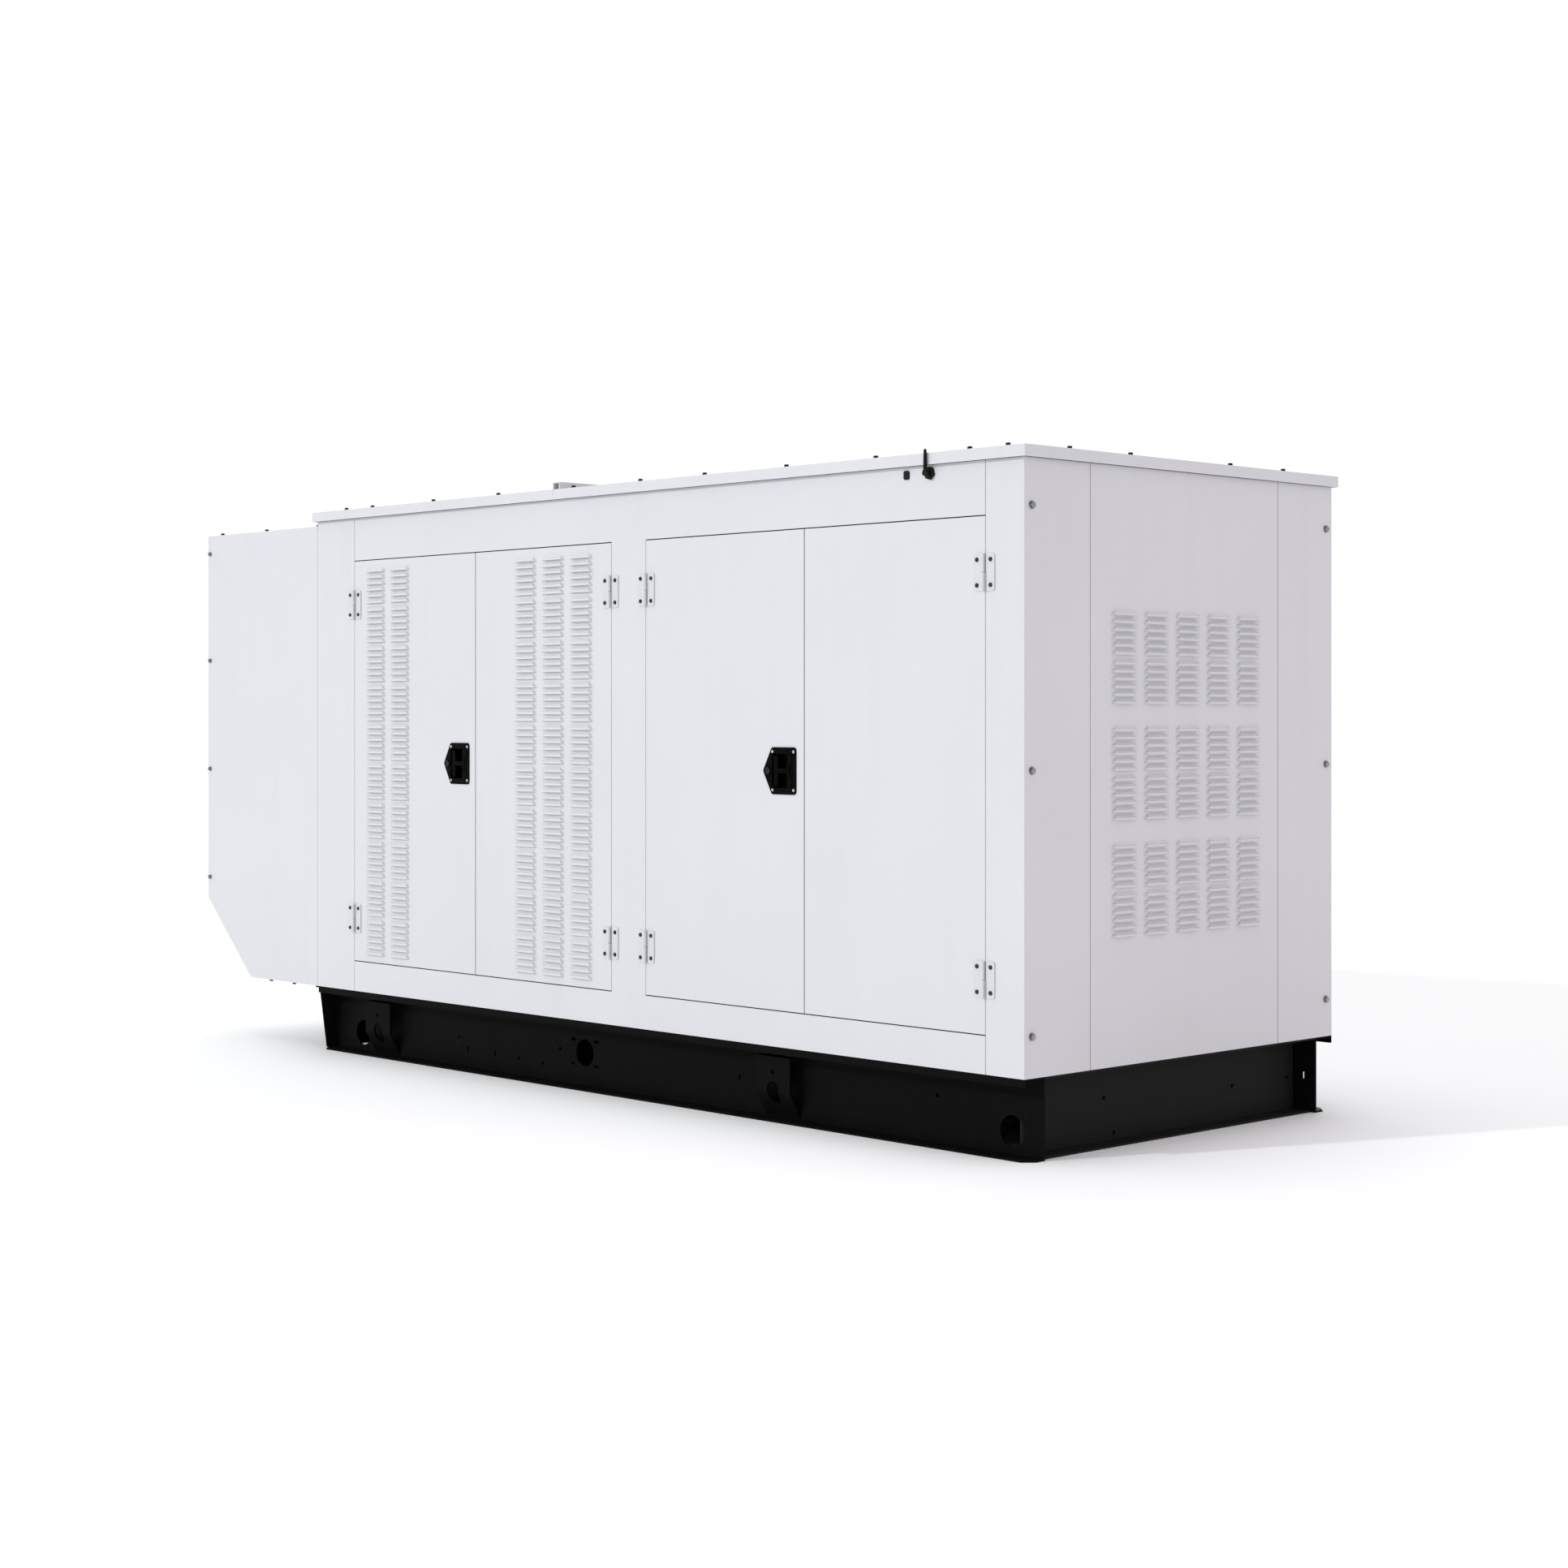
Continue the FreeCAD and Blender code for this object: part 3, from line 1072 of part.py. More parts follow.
def fuel_train():
    """Gas inlet pipe, shut-off valve and regulator on the front rail side."""
    x = HALF_X - ENTRY_HOLES[1][0] + 48
    pipe = rod("fuel_pipe", "Z", x, -450, 150, 24, 300)
    valve = box("fuel_valve", x - 45, -490, 330, 90, 80, 70)
    regulator = rod("fuel_regulator", "Y", x, -500, 500, 80, 90)
    feed = rod("fuel_feed", "Z", x, -455, 560, 20, 130)
    keep("fuel_train", fuse("fuel_train", [pipe, valve, regulator, feed]))


def build():
    for side in (FRONT, REAR):
        base_rail(side)
        corner_post(side)
        left_post(side)
        centre_post(side)
    base_end_right()
    base_end_left()
    base_cross_members()
    lifting_brackets()
    headers_and_sills()
    end_louver_panel()
    doors()
    rear_service_panel()
    hinges()
    latches()
    roof_panels()
    discharge_hood()
    hood_guard_bars()
    radiator_bulkhead()
    enclosure_bolts()
    antenna()
    bell = engine_block()
    oil_pan()
    valve_covers()
    air_cleaner()
    exhaust_system()
    radiator()
    fan()
    belt_drive()
    generator_head(bell)
    isolation_mounts()
    control_cabinet()
    battery()
    fuel_train()


def check_and_write():
    """Stop on any failed object, then write one STEP file for each sub-part."""
    doc.recompute()
    for thing in doc.Objects:
        if "Invalid" in thing.State or "Error" in thing.State:
            raise RuntimeError("%s failed: %s" % (thing.Label, thing.State))
    os.makedirs("parts", exist_ok=True)
    for thing in nodes:
        shape = thing.Shape
        if shape.isNull() or not shape.isValid():
            raise RuntimeError("%s has a bad shape" % thing.Label)
        shape.exportStep("parts/%s.step" % thing.Label)
    print("%d sub-parts written" % len(nodes))


build()
check_and_write()
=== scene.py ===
"""Looks of the standby generator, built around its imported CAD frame. Metres, +Z up."""

import math

import bpy
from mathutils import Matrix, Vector
from mathutils.geometry import tessellate_polygon

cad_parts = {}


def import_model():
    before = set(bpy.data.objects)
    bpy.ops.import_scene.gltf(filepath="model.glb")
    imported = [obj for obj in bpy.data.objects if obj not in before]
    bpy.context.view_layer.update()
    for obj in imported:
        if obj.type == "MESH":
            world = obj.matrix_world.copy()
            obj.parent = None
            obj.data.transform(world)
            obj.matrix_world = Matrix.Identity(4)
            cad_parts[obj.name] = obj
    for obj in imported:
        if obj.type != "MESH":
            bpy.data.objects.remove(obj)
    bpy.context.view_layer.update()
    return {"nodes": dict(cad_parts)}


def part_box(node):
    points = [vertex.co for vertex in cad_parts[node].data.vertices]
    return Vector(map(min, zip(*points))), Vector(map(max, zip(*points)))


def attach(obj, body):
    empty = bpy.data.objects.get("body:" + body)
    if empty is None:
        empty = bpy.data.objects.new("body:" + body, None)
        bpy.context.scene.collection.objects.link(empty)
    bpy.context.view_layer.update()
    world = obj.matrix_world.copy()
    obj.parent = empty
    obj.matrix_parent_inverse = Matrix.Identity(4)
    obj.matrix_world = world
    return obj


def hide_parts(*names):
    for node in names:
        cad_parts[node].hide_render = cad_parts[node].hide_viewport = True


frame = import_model()
NODES = frame["nodes"]
BASE = "generator_set"
UP, FRONT, ALONG, INWARD = (0, 0, 1), (0, -1, 0), (1, 0, 0), (0, 1, 0)


# ---- materials
class Shader:
    """A Principled material with helpers for procedural detail."""

    def __init__(self, name, color, roughness=0.5, metallic=0.0, **sockets):
        self.material = bpy.data.materials.new(name)
        self.material.use_nodes = True
        self.tree = self.material.node_tree
        self.bsdf = self.tree.nodes["Principled BSDF"]
        self.base = tuple(color) + (1.0,)
        self.set(self.bsdf, Base_Color=self.base, Roughness=roughness, Metallic=metallic,
                **sockets)
        self.material.diffuse_color = self.base
        self.place = self.node("TexCoord").outputs["Object"]
        self.height = None
        self.color = self.base

    def set(self, node, **inputs):
        """Give a node's inputs a value each, or a link from another node's output."""
        for label, source in inputs.items():
            socket = node.inputs[label.replace("_", " ")]
            if isinstance(source, bpy.types.NodeSocket):
                self.tree.links.new(source, socket)
            else:
                socket.default_value = source

    def node(self, kind, **inputs):
        node = self.tree.nodes.new("ShaderNode" + kind)
        self.set(node, **inputs)
        return node

    def noise(self, scale, detail=3.0, rough=0.55, stretch=None):
        place = self.place
        if stretch:
            place = self.node("Mapping", Scale=stretch, Vector=place).outputs["Vector"]
        return self.node("TexNoise", Scale=scale, Detail=detail, Roughness=rough,
                Vector=place).outputs["Fac"]

    def ramp(self, factor, low, high, low_to=0.0, high_to=1.0):
        return self.node("MapRange", Value=factor, From_Min=low, From_Max=high, To_Min=low_to,
                To_Max=high_to).outputs["Result"]

    def tint(self, factor, color):
        """Mix a colour over what is there already, by a factor."""
        mix = self.node("Mix")
        mix.data_type = "RGBA"
        self.set(mix, Factor=factor, A=self.color, B=tuple(color) + (1.0,))
        self.color = mix.outputs["Result"]
        self.set(self.bsdf, Base_Color=self.color)
        return self

    def bump(self, factor, strength, distance):
        """Add relief to what is there already."""
        bump = self.node("Bump", Strength=strength, Distance=distance, Height=factor)
        if self.height is not None:
            self.set(bump, Normal=self.height)
        self.height = bump.outputs["Normal"]
        self.set(self.bsdf, Normal=self.height)
        return self

    def roughness(self, factor, low, high):
        self.set(self.bsdf, Roughness=self.ramp(factor, 0.3, 0.7, low, high))
        return self

    def near_ground(self, top):
        """1 on the ground, falling to 0 at the top height."""
        split = self.node("SeparateXYZ", Vector=self.place)
        return self.ramp(split.outputs["Z"], 0.0, top, 1.0, 0.0)

    def product(self, first, second):
        node = self.node("Math")
        node.operation = "MULTIPLY"
        self.tree.links.new(first, node.inputs[0])
        self.tree.links.new(second, node.inputs[1])
        return node.outputs["Value"]

    def wave(self, scale, axis):
        node = self.node("TexWave", Scale=scale, Vector=self.place)
        node.bands_direction = axis
        return node.outputs["Fac"]


def powder_coat(name, color, rough, dust=(0.5, 0.47, 0.43), dust_amount=0.1, dust_top=0.5,
        gloss=0.4, peel=0.16):
    """Satin powder coat: fine orange peel, faint mottling and a little ground dust."""
    shader = Shader(name, color, rough, Specular_IOR_Level=gloss)
    mottle = shader.noise(2.2, 4.0)
    shader.tint(shader.ramp(mottle, 0.35, 0.7, 0.0, 0.35), [c * 0.93 for c in color])
    streaks = shader.noise(5.0, 3.0, 0.5, (2.5, 2.5, 0.15))
    shader.tint(shader.ramp(streaks, 0.52, 0.75, 0.0, 0.22), [c * 0.9 for c in color])
    patches = shader.ramp(shader.noise(9, 5), 0.35, 0.7)
    fall = shader.product(shader.near_ground(dust_top), patches)
    shader.tint(shader.ramp(fall, 0.0, 1.0, 0.0, dust_amount), dust)
    shader.bump(shader.noise(420, 2.0), peel, 0.0004)
    shader.bump(shader.noise(1.3, 1.0), peel * 0.6, 0.01)
    return shader.roughness(shader.noise(14, 3), rough - 0.05, rough + 0.09).material


def moulded(name, color, rough, grain=1500, depth=0.25, gloss=0.25):
    """Moulded plastic or rubber with a fine grained skin."""
    shader = Shader(name, color, rough, Specular_IOR_Level=gloss)
    shader.tint(shader.ramp(shader.noise(30, 4), 0.4, 0.75, 0.0, 0.4),
            [min(1.0, c * 1.6 + 0.004) for c in color])
    shader.bump(shader.noise(grain, 2.0), depth, 0.00025)
    return shader.roughness(shader.noise(60, 3), rough - 0.07, rough + 0.1).material


def metal(name, color, rough, grain=(1, 1, 40), tarnish=None, bump=0.12):
    """Bare or plated metal with a directional grain and some tarnish."""
    shader = Shader(name, color, rough, 1.0)
    lines = shader.noise(160, 3.0, 0.6, grain)
    shader.tint(shader.ramp(lines, 0.35, 0.7, 0.0, 0.4), [c * 0.8 for c in color])
    if tarnish:
        shader.tint(shader.ramp(shader.noise(7, 5), 0.5, 0.72, 0.0, 0.6), tarnish)
    shader.bump(lines, bump, 0.0002)
    return shader.roughness(shader.noise(35, 4), rough - 0.08, rough + 0.14).material


def casting(name, color, rough, metallic=0.0):
    """Sand-cast surface under paint, or bare alloy."""
    shader = Shader(name, color, rough, metallic)
    shader.tint(shader.ramp(shader.noise(11, 5), 0.4, 0.75, 0.0, 0.5), [c * 0.7 for c in color])
    shader.bump(shader.noise(330, 4.0, 0.7), 0.5, 0.0006)
    return shader.roughness(shader.noise(25, 3), rough - 0.06, rough + 0.12).material


def heat_tinted():
    """Exhaust steel with straw and blue heat colours."""
    shader = Shader("exhaust_steel", (0.42, 0.4, 0.37), 0.42, 1.0)
    shader.tint(shader.ramp(shader.noise(3.0, 4), 0.45, 0.62, 0.0, 0.7), (0.32, 0.22, 0.14))
    shader.tint(shader.ramp(shader.noise(5.0, 4), 0.55, 0.7, 0.0, 0.5), (0.16, 0.17, 0.24))
    shader.bump(shader.noise(260, 4), 0.3, 0.0005)
    return shader.roughness(shader.noise(20, 4), 0.35, 0.6).material


def finned():
    """Radiator core: fine fins between flat tubes."""
    shader = Shader("radiator_fins", (0.03, 0.03, 0.032), 0.5, 0.3)
    shader.tint(shader.ramp(shader.noise(12, 4), 0.5, 0.8, 0.0, 0.5), (0.1, 0.09, 0.08))
    shader.bump(shader.wave(150, "Z"), 0.8, 0.002)
    shader.bump(shader.wave(28, "Y"), 0.7, 0.003)
    return shader.material


def pale_floor():
    """Plain studio floor, near white."""
    shader = Shader("pale_floor", (0.98, 0.98, 0.98), 0.8)
    shader.tint(shader.ramp(shader.noise(0.7, 4), 0.4, 0.7, 0.0, 0.3), (0.965, 0.965, 0.965))
    shader.bump(shader.noise(90, 3), 0.03, 0.001)
    return shader.material


SKIN = powder_coat("enclosure_paint", (0.665, 0.678, 0.705), 0.36, dust_amount=0.05)
HINGE = powder_coat("hinge_paint", (0.645, 0.655, 0.68), 0.38, dust_amount=0.05)
BLACK = powder_coat("base_paint", (0.0055, 0.0055, 0.006), 0.34, (0.014, 0.013, 0.012), 0.25, 0.08,
        0.015, 0.07)
# A lighter copy of the black base paint for the right end member: painted light, standing in for
# the brighter light that falls on the end face.
BASE_END_PAINTED_LIGHT = powder_coat("base_end_painted_light", (0.02, 0.02, 0.0205), 0.34, (0.03, 0.028, 0.026), 0.25,
        0.08, 0.015, 0.07)
LATCH = moulded("latch_black", (0.001, 0.001, 0.0011), 0.28, depth=0.1, gloss=0.03)
RUBBER = moulded("antenna_black", (0.005, 0.005, 0.005), 0.5, gloss=0.15)
SEAL = moulded("seal_rubber", (0.012, 0.012, 0.012), 0.62, 900, 0.4)
ZINC = metal("fastener_steel", (0.58, 0.59, 0.61), 0.34, (6, 6, 6), (0.42, 0.42, 0.42))
OXIDE = metal("black_oxide", (0.055, 0.055, 0.06), 0.38, (6, 6, 6), (0.1, 0.08, 0.07))
CHROME = metal("lock_cylinder", (0.3, 0.3, 0.31), 0.16, (8, 8, 8))
LOCK = metal("lock_face", (0.035, 0.035, 0.037), 0.3, (8, 8, 8))
GUARD = powder_coat("guard_paint", (0.62, 0.63, 0.66), 0.4)
IRON = casting("engine_iron", (0.06, 0.066, 0.072), 0.45)
PAN = casting("pan_paint", (0.02, 0.02, 0.02), 0.4)
ALLOY = casting("cover_alloy", (0.52, 0.53, 0.54), 0.38, 0.9)
AIRBOX = moulded("air_box", (0.02, 0.02, 0.021), 0.45, 700)
EXHAUST = heat_tinted()
FINS = finned()
FAN = moulded("fan_plastic", (0.02, 0.02, 0.02), 0.4)
STEEL = metal("pulley_steel", (0.36, 0.36, 0.37), 0.34, (30, 2, 2), (0.2, 0.15, 0.1))
BELT = moulded("belt_rubber", (0.012, 0.012, 0.012), 0.6, 600, 0.6)
MOUNT = moulded("mount_rubber", (0.013, 0.013, 0.013), 0.65, 800, 0.5)
GENSET = casting("generator_paint", (0.045, 0.05, 0.056), 0.4)
CABINET = powder_coat("cabinet_paint", (0.33, 0.34, 0.36), 0.45)
RED = moulded("stop_red", (0.52, 0.012, 0.01), 0.28, 900, 0.1)
BATTERY = moulded("battery_case", (0.014, 0.014, 0.018), 0.5, 500, 0.4)
BRASS = metal("fuel_brass", (0.66, 0.5, 0.23), 0.35, (6, 6, 6), (0.35, 0.27, 0.16))
LINER = casting("liner_board", (0.05, 0.05, 0.052), 0.85)
SCREEN = moulded("screen_cover", (0.02, 0.035, 0.04), 0.12, 300, 0.02, 0.5)
YELLOW = powder_coat("valve_lever", (0.62, 0.42, 0.03), 0.4)
FILTER = powder_coat("filter_paint", (0.045, 0.1, 0.26), 0.35)

NODE_LOOKS = {
    SKIN: ["corner_post_front", "corner_post_rear", "centre_post_front", "centre_post_rear",
           "left_post_front", "left_post_rear", "headers", "sills", "end_louver_panel",
           "rear_service_panel", "roof_left", "roof_right", "discharge_hood",
           "radiator_bulkhead", "front_door_1", "front_door_2", "front_door_3", "front_door_4",
           "rear_door_1", "rear_door_2"],
    BASE_END_PAINTED_LIGHT: ["base_end_right"],
    BLACK: ["base_rail_front", "base_rail_rear", "base_end_left",
            "base_cross_members", "lifting_brackets"],
    GUARD: ["hood_guard_bars"], ZINC: ["enclosure_bolts"], IRON: ["engine_block"],
    PAN: ["oil_pan"], ALLOY: ["valve_covers"], AIRBOX: ["air_cleaner"],
    EXHAUST: ["exhaust_system"], FINS: ["radiator"], FAN: ["fan"],
    STEEL: ["crank_pulley", "pulley_stubs"], BELT: ["drive_belt"], MOUNT: ["isolation_mounts"],
    GENSET: ["generator_head"], CABINET: ["control_cabinet"], LATCH: ["breaker_lever"],
    RED: ["stop_button"], BATTERY: ["battery"], BRASS: ["fuel_train"],
}
# Each CAD node is given its look; FILTER and YELLOW go only on built pieces.
for look, names in NODE_LOOKS.items():
    for node_name in names:
        NODES[node_name].data.materials.clear()
        NODES[node_name].data.materials.append(look)


# ---- mesh builder
SHARP = math.radians(32)


def rounded(corners, radius, steps=5):
    """A closed 2-D outline with its corners rounded."""
    outline = []
    count = len(corners)
    for index in range(count):
        here = Vector(corners[index])
        before = (Vector(corners[index - 1]) - here).normalized()
        after = (Vector(corners[(index + 1) % count]) - here).normalized()
        half = before.angle(after) / 2
        reach = radius / math.tan(half)
        centre = here + (before + after).normalized() * (radius / math.sin(half))
        start, end = here + before * reach - centre, here + after * reach - centre
        for step in range(steps + 1):
            spoke = start.lerp(end, step / steps).normalized() * radius
            outline.append(tuple(centre + spoke))
    return outline


def rectangle(a, b, c, d, radius, steps=5):
    return rounded([(a, b), (c, b), (c, d), (a, d)], radius, steps)


def circle(radius, count, middle=0.0, start=0.0):
    """(across, up) points round a circle whose middle is so far up."""
    angles = [math.radians(start) + 2 * math.pi * index / count for index in range(count)]
    return [(radius * math.cos(angle), middle + radius * math.sin(angle)) for angle in angles]


def band(width, inner, outer):
    """Closed profile of a flat ring."""
    return [(0, inner), (width, inner), (width, outer), (0, outer)]


class Build:
    """Collects vertices and faces, through a placing function, into one object."""

    def __init__(self, place=None):
        self.verts, self.faces = [], []
        self.place = place or Vector

    def add(self, verts, faces):
        start = len(self.verts)
        self.verts += [self.place(v) for v in verts]
        self.faces += [tuple(start + i for i in face) for face in faces]

    def box(self, low, high):
        (a, b, c), (d, e, f) = low, high
        verts = [(a, b, c), (d, b, c), (d, e, c), (a, e, c), (a, b, f), (d, b, f), (d, e, f),
                (a, e, f)]
        self.add(verts, [(0, 3, 2, 1), (4, 5, 6, 7), (0, 1, 5, 4), (1, 2, 6, 5), (2, 3, 7, 6),
                (3, 0, 4, 7)])

    def tube(self, verts, sides, closed):
        """Join rings of points; closed joins the last to the first, and leaves no ends."""
        rings = len(verts) // sides
        faces = []
        for ring in range(rings if closed else rings - 1):
            start, after = ring * sides, (ring + 1) % rings * sides
            for index in range(sides):
                step = (index + 1) % sides
                faces.append((start + index, start + step, after + step, after + index))
        if not closed:
            faces.append(tuple(reversed(range(sides))))
            faces.append(tuple(range(len(verts) - sides, len(verts))))
        self.add(verts, faces)

    def lathe(self, origin, axis, profile, sides=24, twist=0.0, closed=False):
        """Turn a profile of (distance along the axis, radius) pairs round the axis."""
        origin, axis = Vector(origin), Vector(axis).normalized()
        side = axis.orthogonal().normalized()
        other = axis.cross(side)
        verts = []
        for along, radius in profile:
            for a, b in circle(1.0, sides, start=twist):
                verts.append(origin + axis * along + (side * a + other * b) * radius)
        self.tube(verts, sides, closed)

    def turn(self, origin, axis, profile, sides=32):
        """Turn a closed profile round the axis, which leaves the middle open."""
        self.lathe(origin, axis, profile, sides, closed=True)

    def plate(self, outer, holes, to_3d, low, high):
        """A flat plate with holes, between two levels along its own normal."""
        loops = [outer] + holes
        flat = [[Vector((x, y, 0)) for x, y in loop] for loop in loops]
        triangles = tessellate_polygon(flat)
        points = [point for loop in loops for point in loop]
        count = len(points)
        verts = [to_3d(x, y, low) for x, y in points] + [to_3d(x, y, high) for x, y in points]
        faces = []
        for a, b, c in triangles:
            faces += [(a, c, b), (a + count, b + count, c + count)]
        start = 0
        for loop in loops:
            size = len(loop)
            for index in range(size):
                a, b = start + index, start + (index + 1) % size
                faces.append((a, b, b + count, a + count))
            start += size
        self.add(verts, faces)

    def sweep(self, points, radius, sides=14, closed=False):
        """A round bar along a line of points."""
        points = [Vector(p) for p in points]
        count = len(points)
        verts = []
        side = None
        for index, point in enumerate(points):
            before = points[index - 1] if index or closed else point
            after = points[(index + 1) % count] if index < count - 1 or closed else point
            along = (after - before).normalized()
            side = along.orthogonal() if side is None else side - along * side.dot(along)
            side.normalize()
            other = along.cross(side)
            verts += [point + side * a + other * b for a, b in circle(radius, sides)]
        self.tube(verts, sides, closed)

    def hex_bolt(self, origin, axis, across, height, washer):
        """Hexagon head with a chamfered crown on a domed washer."""
        flat, point = across / 2, across / math.sqrt(3)
        self.lathe(origin, axis, [(0, washer), (0.0008, washer), (0.0016, washer * 0.9),
                (0.0016, flat)], 24)
        self.lathe(origin, axis, [(0.0012, point), (height - 0.0012, point),
                (height, flat * 0.92)], 6)

    def button_screw(self, origin, axis, radius, height):
        """Low domed head with a hexagon socket sunk in its crown."""
        self.lathe(origin, axis, [(0, radius), (height * 0.3, radius),
                (height * 0.7, radius * 0.86), (height, radius * 0.62), (height, radius * 0.46)],
                24)
        self.lathe(origin, axis, [(height * 1.01, radius * 0.5), (height * 1.01, radius * 0.47),
                (height * 0.35, radius * 0.46)], 6)

    def finish(self, name, look, body=BASE, bevel=0.0, steps=2, slot=None, replaces=()):
        """Make the object, soften its edges and say what it rides on and stands for."""
        mesh = bpy.data.meshes.new(name)
        mesh.from_pydata([tuple(v) for v in self.verts], [], self.faces)
        mesh.validate()
        thing = bpy.data.objects.new(name, mesh)
        bpy.context.scene.collection.objects.link(thing)
        mesh.materials.append(look)
        mesh.shade_smooth()
        mesh.set_sharp_from_angle(angle=SHARP)
        if bevel:
            rounding = thing.modifiers.new("edge_rounding", "BEVEL")
            rounding.width = bevel
            rounding.segments = steps
            rounding.limit_method = "ANGLE"
            rounding.angle_limit = SHARP
            rounding.harden_normals = True
        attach(thing, body)
        if replaces:
            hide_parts(*replaces)


def arc_points(points, radius, steps=6):
    """A 3-D line with its corners rounded to a radius."""
    points = [Vector(p) for p in points]
    line = [points[0]]
    for before, here, after in zip(points, points[1:], points[2:]):
        first, second = (before - here).normalized(), (after - here).normalized()
        half = first.angle(second) / 2
        reach = radius / math.tan(half)
        start, end = here + first * reach, here + second * reach
        for step in range(steps + 1):
            share = step / steps
            line.append(start.lerp(here, share).lerp(here.lerp(end, share), share))
    return line + [points[-1]]


# ---- places from the frame
FACE_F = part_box("centre_post_front")[0].y
FACE_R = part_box("centre_post_rear")[1].y
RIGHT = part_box("corner_post_front")[1].x
PIN_OUT = 0.0055                # hinge pins stand this far out of the faces
GAP = 0.002                     # between a leaf's edge and its opening's
# Each leaf's hinge line, the face that it is on (-1 front) and the way to its free edge.
DOOR_LINES = {name: (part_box(name)[way < 0].x + way * GAP, side, way) for name, side, way in (
    ("front_door_1", -1, 1), ("front_door_2", -1, -1), ("front_door_3", -1, 1),
    ("front_door_4", -1, -1), ("rear_door_1", 1, -1), ("rear_door_2", 1, 1))}
HINGE_TALL = 0.09
HINGE_LOWS = (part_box("hinge_frame_leaves")[0].z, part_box("hinge_frame_leaves")[1].z - HINGE_TALL)


def on_face(x, side, z):
    """Places a piece made on the front, looking at -Y from the origin, onto either face."""
    face = FACE_F if side < 0 else FACE_R
    return lambda v: Vector((x + v[0] * -side, face + v[1] * -side, z + v[2]))


# ---- louvers
COLUMN, ROW, BLOCK, BLOCK_ROWS = 0.127, 0.0194, 0.1215, 6      # pitches; rows in a block


def louver(build, centre, low, half=0.0524, rise=0.0154, out=0.0083, wall=0.0015):
    """A pressed louver: one sloping face, two pointed ends and a lip, open underneath."""
    top, lip = half - 0.0201, half - 0.0091
    outer = [(-half, 0.0), (-lip, -out), (lip, -out), (half, 0.0)]
    inner = [(-half + 2.6 * wall, 0.0), (-lip + 0.6 * wall, wall - out),
            (lip - 0.6 * wall, wall - out), (half - 2.6 * wall, 0.0)]
    verts = [(centre + x, y, low - 0.0003) for x, y in outer + inner]
    verts += [(centre + x, y, low + 0.006) for x, y in inner]
    verts += [(centre - top, 0.0, low + rise), (centre + top, 0.0, low + rise)]
    build.add(verts, [(0, 1, 12), (1, 2, 13, 12), (2, 3, 13), (0, 4, 5, 1), (1, 5, 6, 2),
            (2, 6, 7, 3), (4, 8, 9, 5), (5, 9, 10, 6), (6, 10, 11, 7)])


def rows_of(low, blocks, pitch=BLOCK):
    """Heights of the rows of so many blocks of louvers."""
    return [low + block * pitch + row * ROW for block in range(blocks)
            for row in range(BLOCK_ROWS)]


def louver_sets():
    """The faceted louvers that cover the plain pressed ones of the panels."""
    for node, first, columns in (("front_door_1", 0.115, 2), ("front_door_2", 0.238, 3)):
        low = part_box(node)[0]
        build = Build(on_face(low.x, -1, low.z))
        for column in range(columns):
            for row in rows_of(0.024, 10):
                louver(build, first + COLUMN * column, row)
        build.finish(node + "_louvers", SKIN, node, 0.0009)
    low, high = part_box("rear_service_panel")
    build = Build(on_face((low.x + high.x) / 2, 1, low.z))
    for column in (-3 * COLUMN, -2 * COLUMN, 2 * COLUMN, 3 * COLUMN):
        for row in rows_of(0.15, 8):
            louver(build, column, row)
    build.finish("rear_panel_louvers", SKIN, BASE, 0.0009)
    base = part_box("end_louver_panel")[0].z
    build = Build(lambda v: Vector((RIGHT - v[1], v[0], base + v[2])))
    for column in range(-2, 3):
        for start in (0.318, 0.607, 0.894):
            for row in rows_of(start, 2, 0.122):
                louver(build, COLUMN * column, row)
    build.finish("end_panel_louvers", SKIN, BASE, 0.0009)


# ---- hinges
def hinge_half(build, bolts, way, low, on_door):
    """Rounded leaf, knuckle and two screws; way is the side that the leaf lies on."""
    def facing(x, z, level):
        return (way * x, -level, low + z)
    outline = [(0.007, 0.0), (0.034, 0.0), (0.034, HINGE_TALL), (0.007, HINGE_TALL)]
    outline = [outline[0]] + rounded(outline, 0.006)[6:18] + [outline[3]]
    build.plate(outline, [], facing, 0.0, 0.003)
    start = HINGE_TALL / 2 + 0.0003 if on_door else 0.0
    length, radius = HINGE_TALL / 2 - 0.0003, 0.005
    neck = [(0.0, start), (0.0085, start), (0.0085, start + length), (0.0, start + length)]
    build.plate(neck, [], facing, 0.0, 0.003)
    build.lathe((0, -PIN_OUT, low + start), UP, [(0, radius * 0.82), (0.0008, radius),
            (length - 0.0008, radius), (length, radius * 0.82)], 20)
    for z in (0.014, 0.076):
        bolts.button_screw((way * 0.022, -0.003, low + z), FRONT, 0.0056, 0.0036)


def hinges():
    """A leaf on each door, another on the frame and a pin through both, at two heights."""
    for name, (x, side, way) in DOOR_LINES.items():
        place = on_face(x, side, 0)
        build, bolts = Build(place), Build(place)
        for low in HINGE_LOWS:
            hinge_half(build, bolts, way * -side, low, True)
        build.finish(name + "_hinges", HINGE, name, 0.0006, replaces=[name + "_hinge_leaves"])
        bolts.finish(name + "_hinge_screws", OXIDE, name)
    build, bolts, pins = Build(), Build(), Build()
    for x, side, way in DOOR_LINES.values():
        place = on_face(x, side, 0)
        for group in (build, bolts, pins):
            group.place = place
        for low in HINGE_LOWS:
            hinge_half(build, bolts, way * side, low, False)
            pins.lathe((0, -PIN_OUT, low + 0.002), UP, [(0, 0.0022), (0.086, 0.0022),
                    (0.0875, 0.0012)], 12)
    build.finish("frame_hinge_leaves", HINGE, BASE, 0.0006, replaces=["hinge_frame_leaves"])
    bolts.finish("frame_hinge_screws", OXIDE)
    pins.finish("hinge_pins", ZINC)


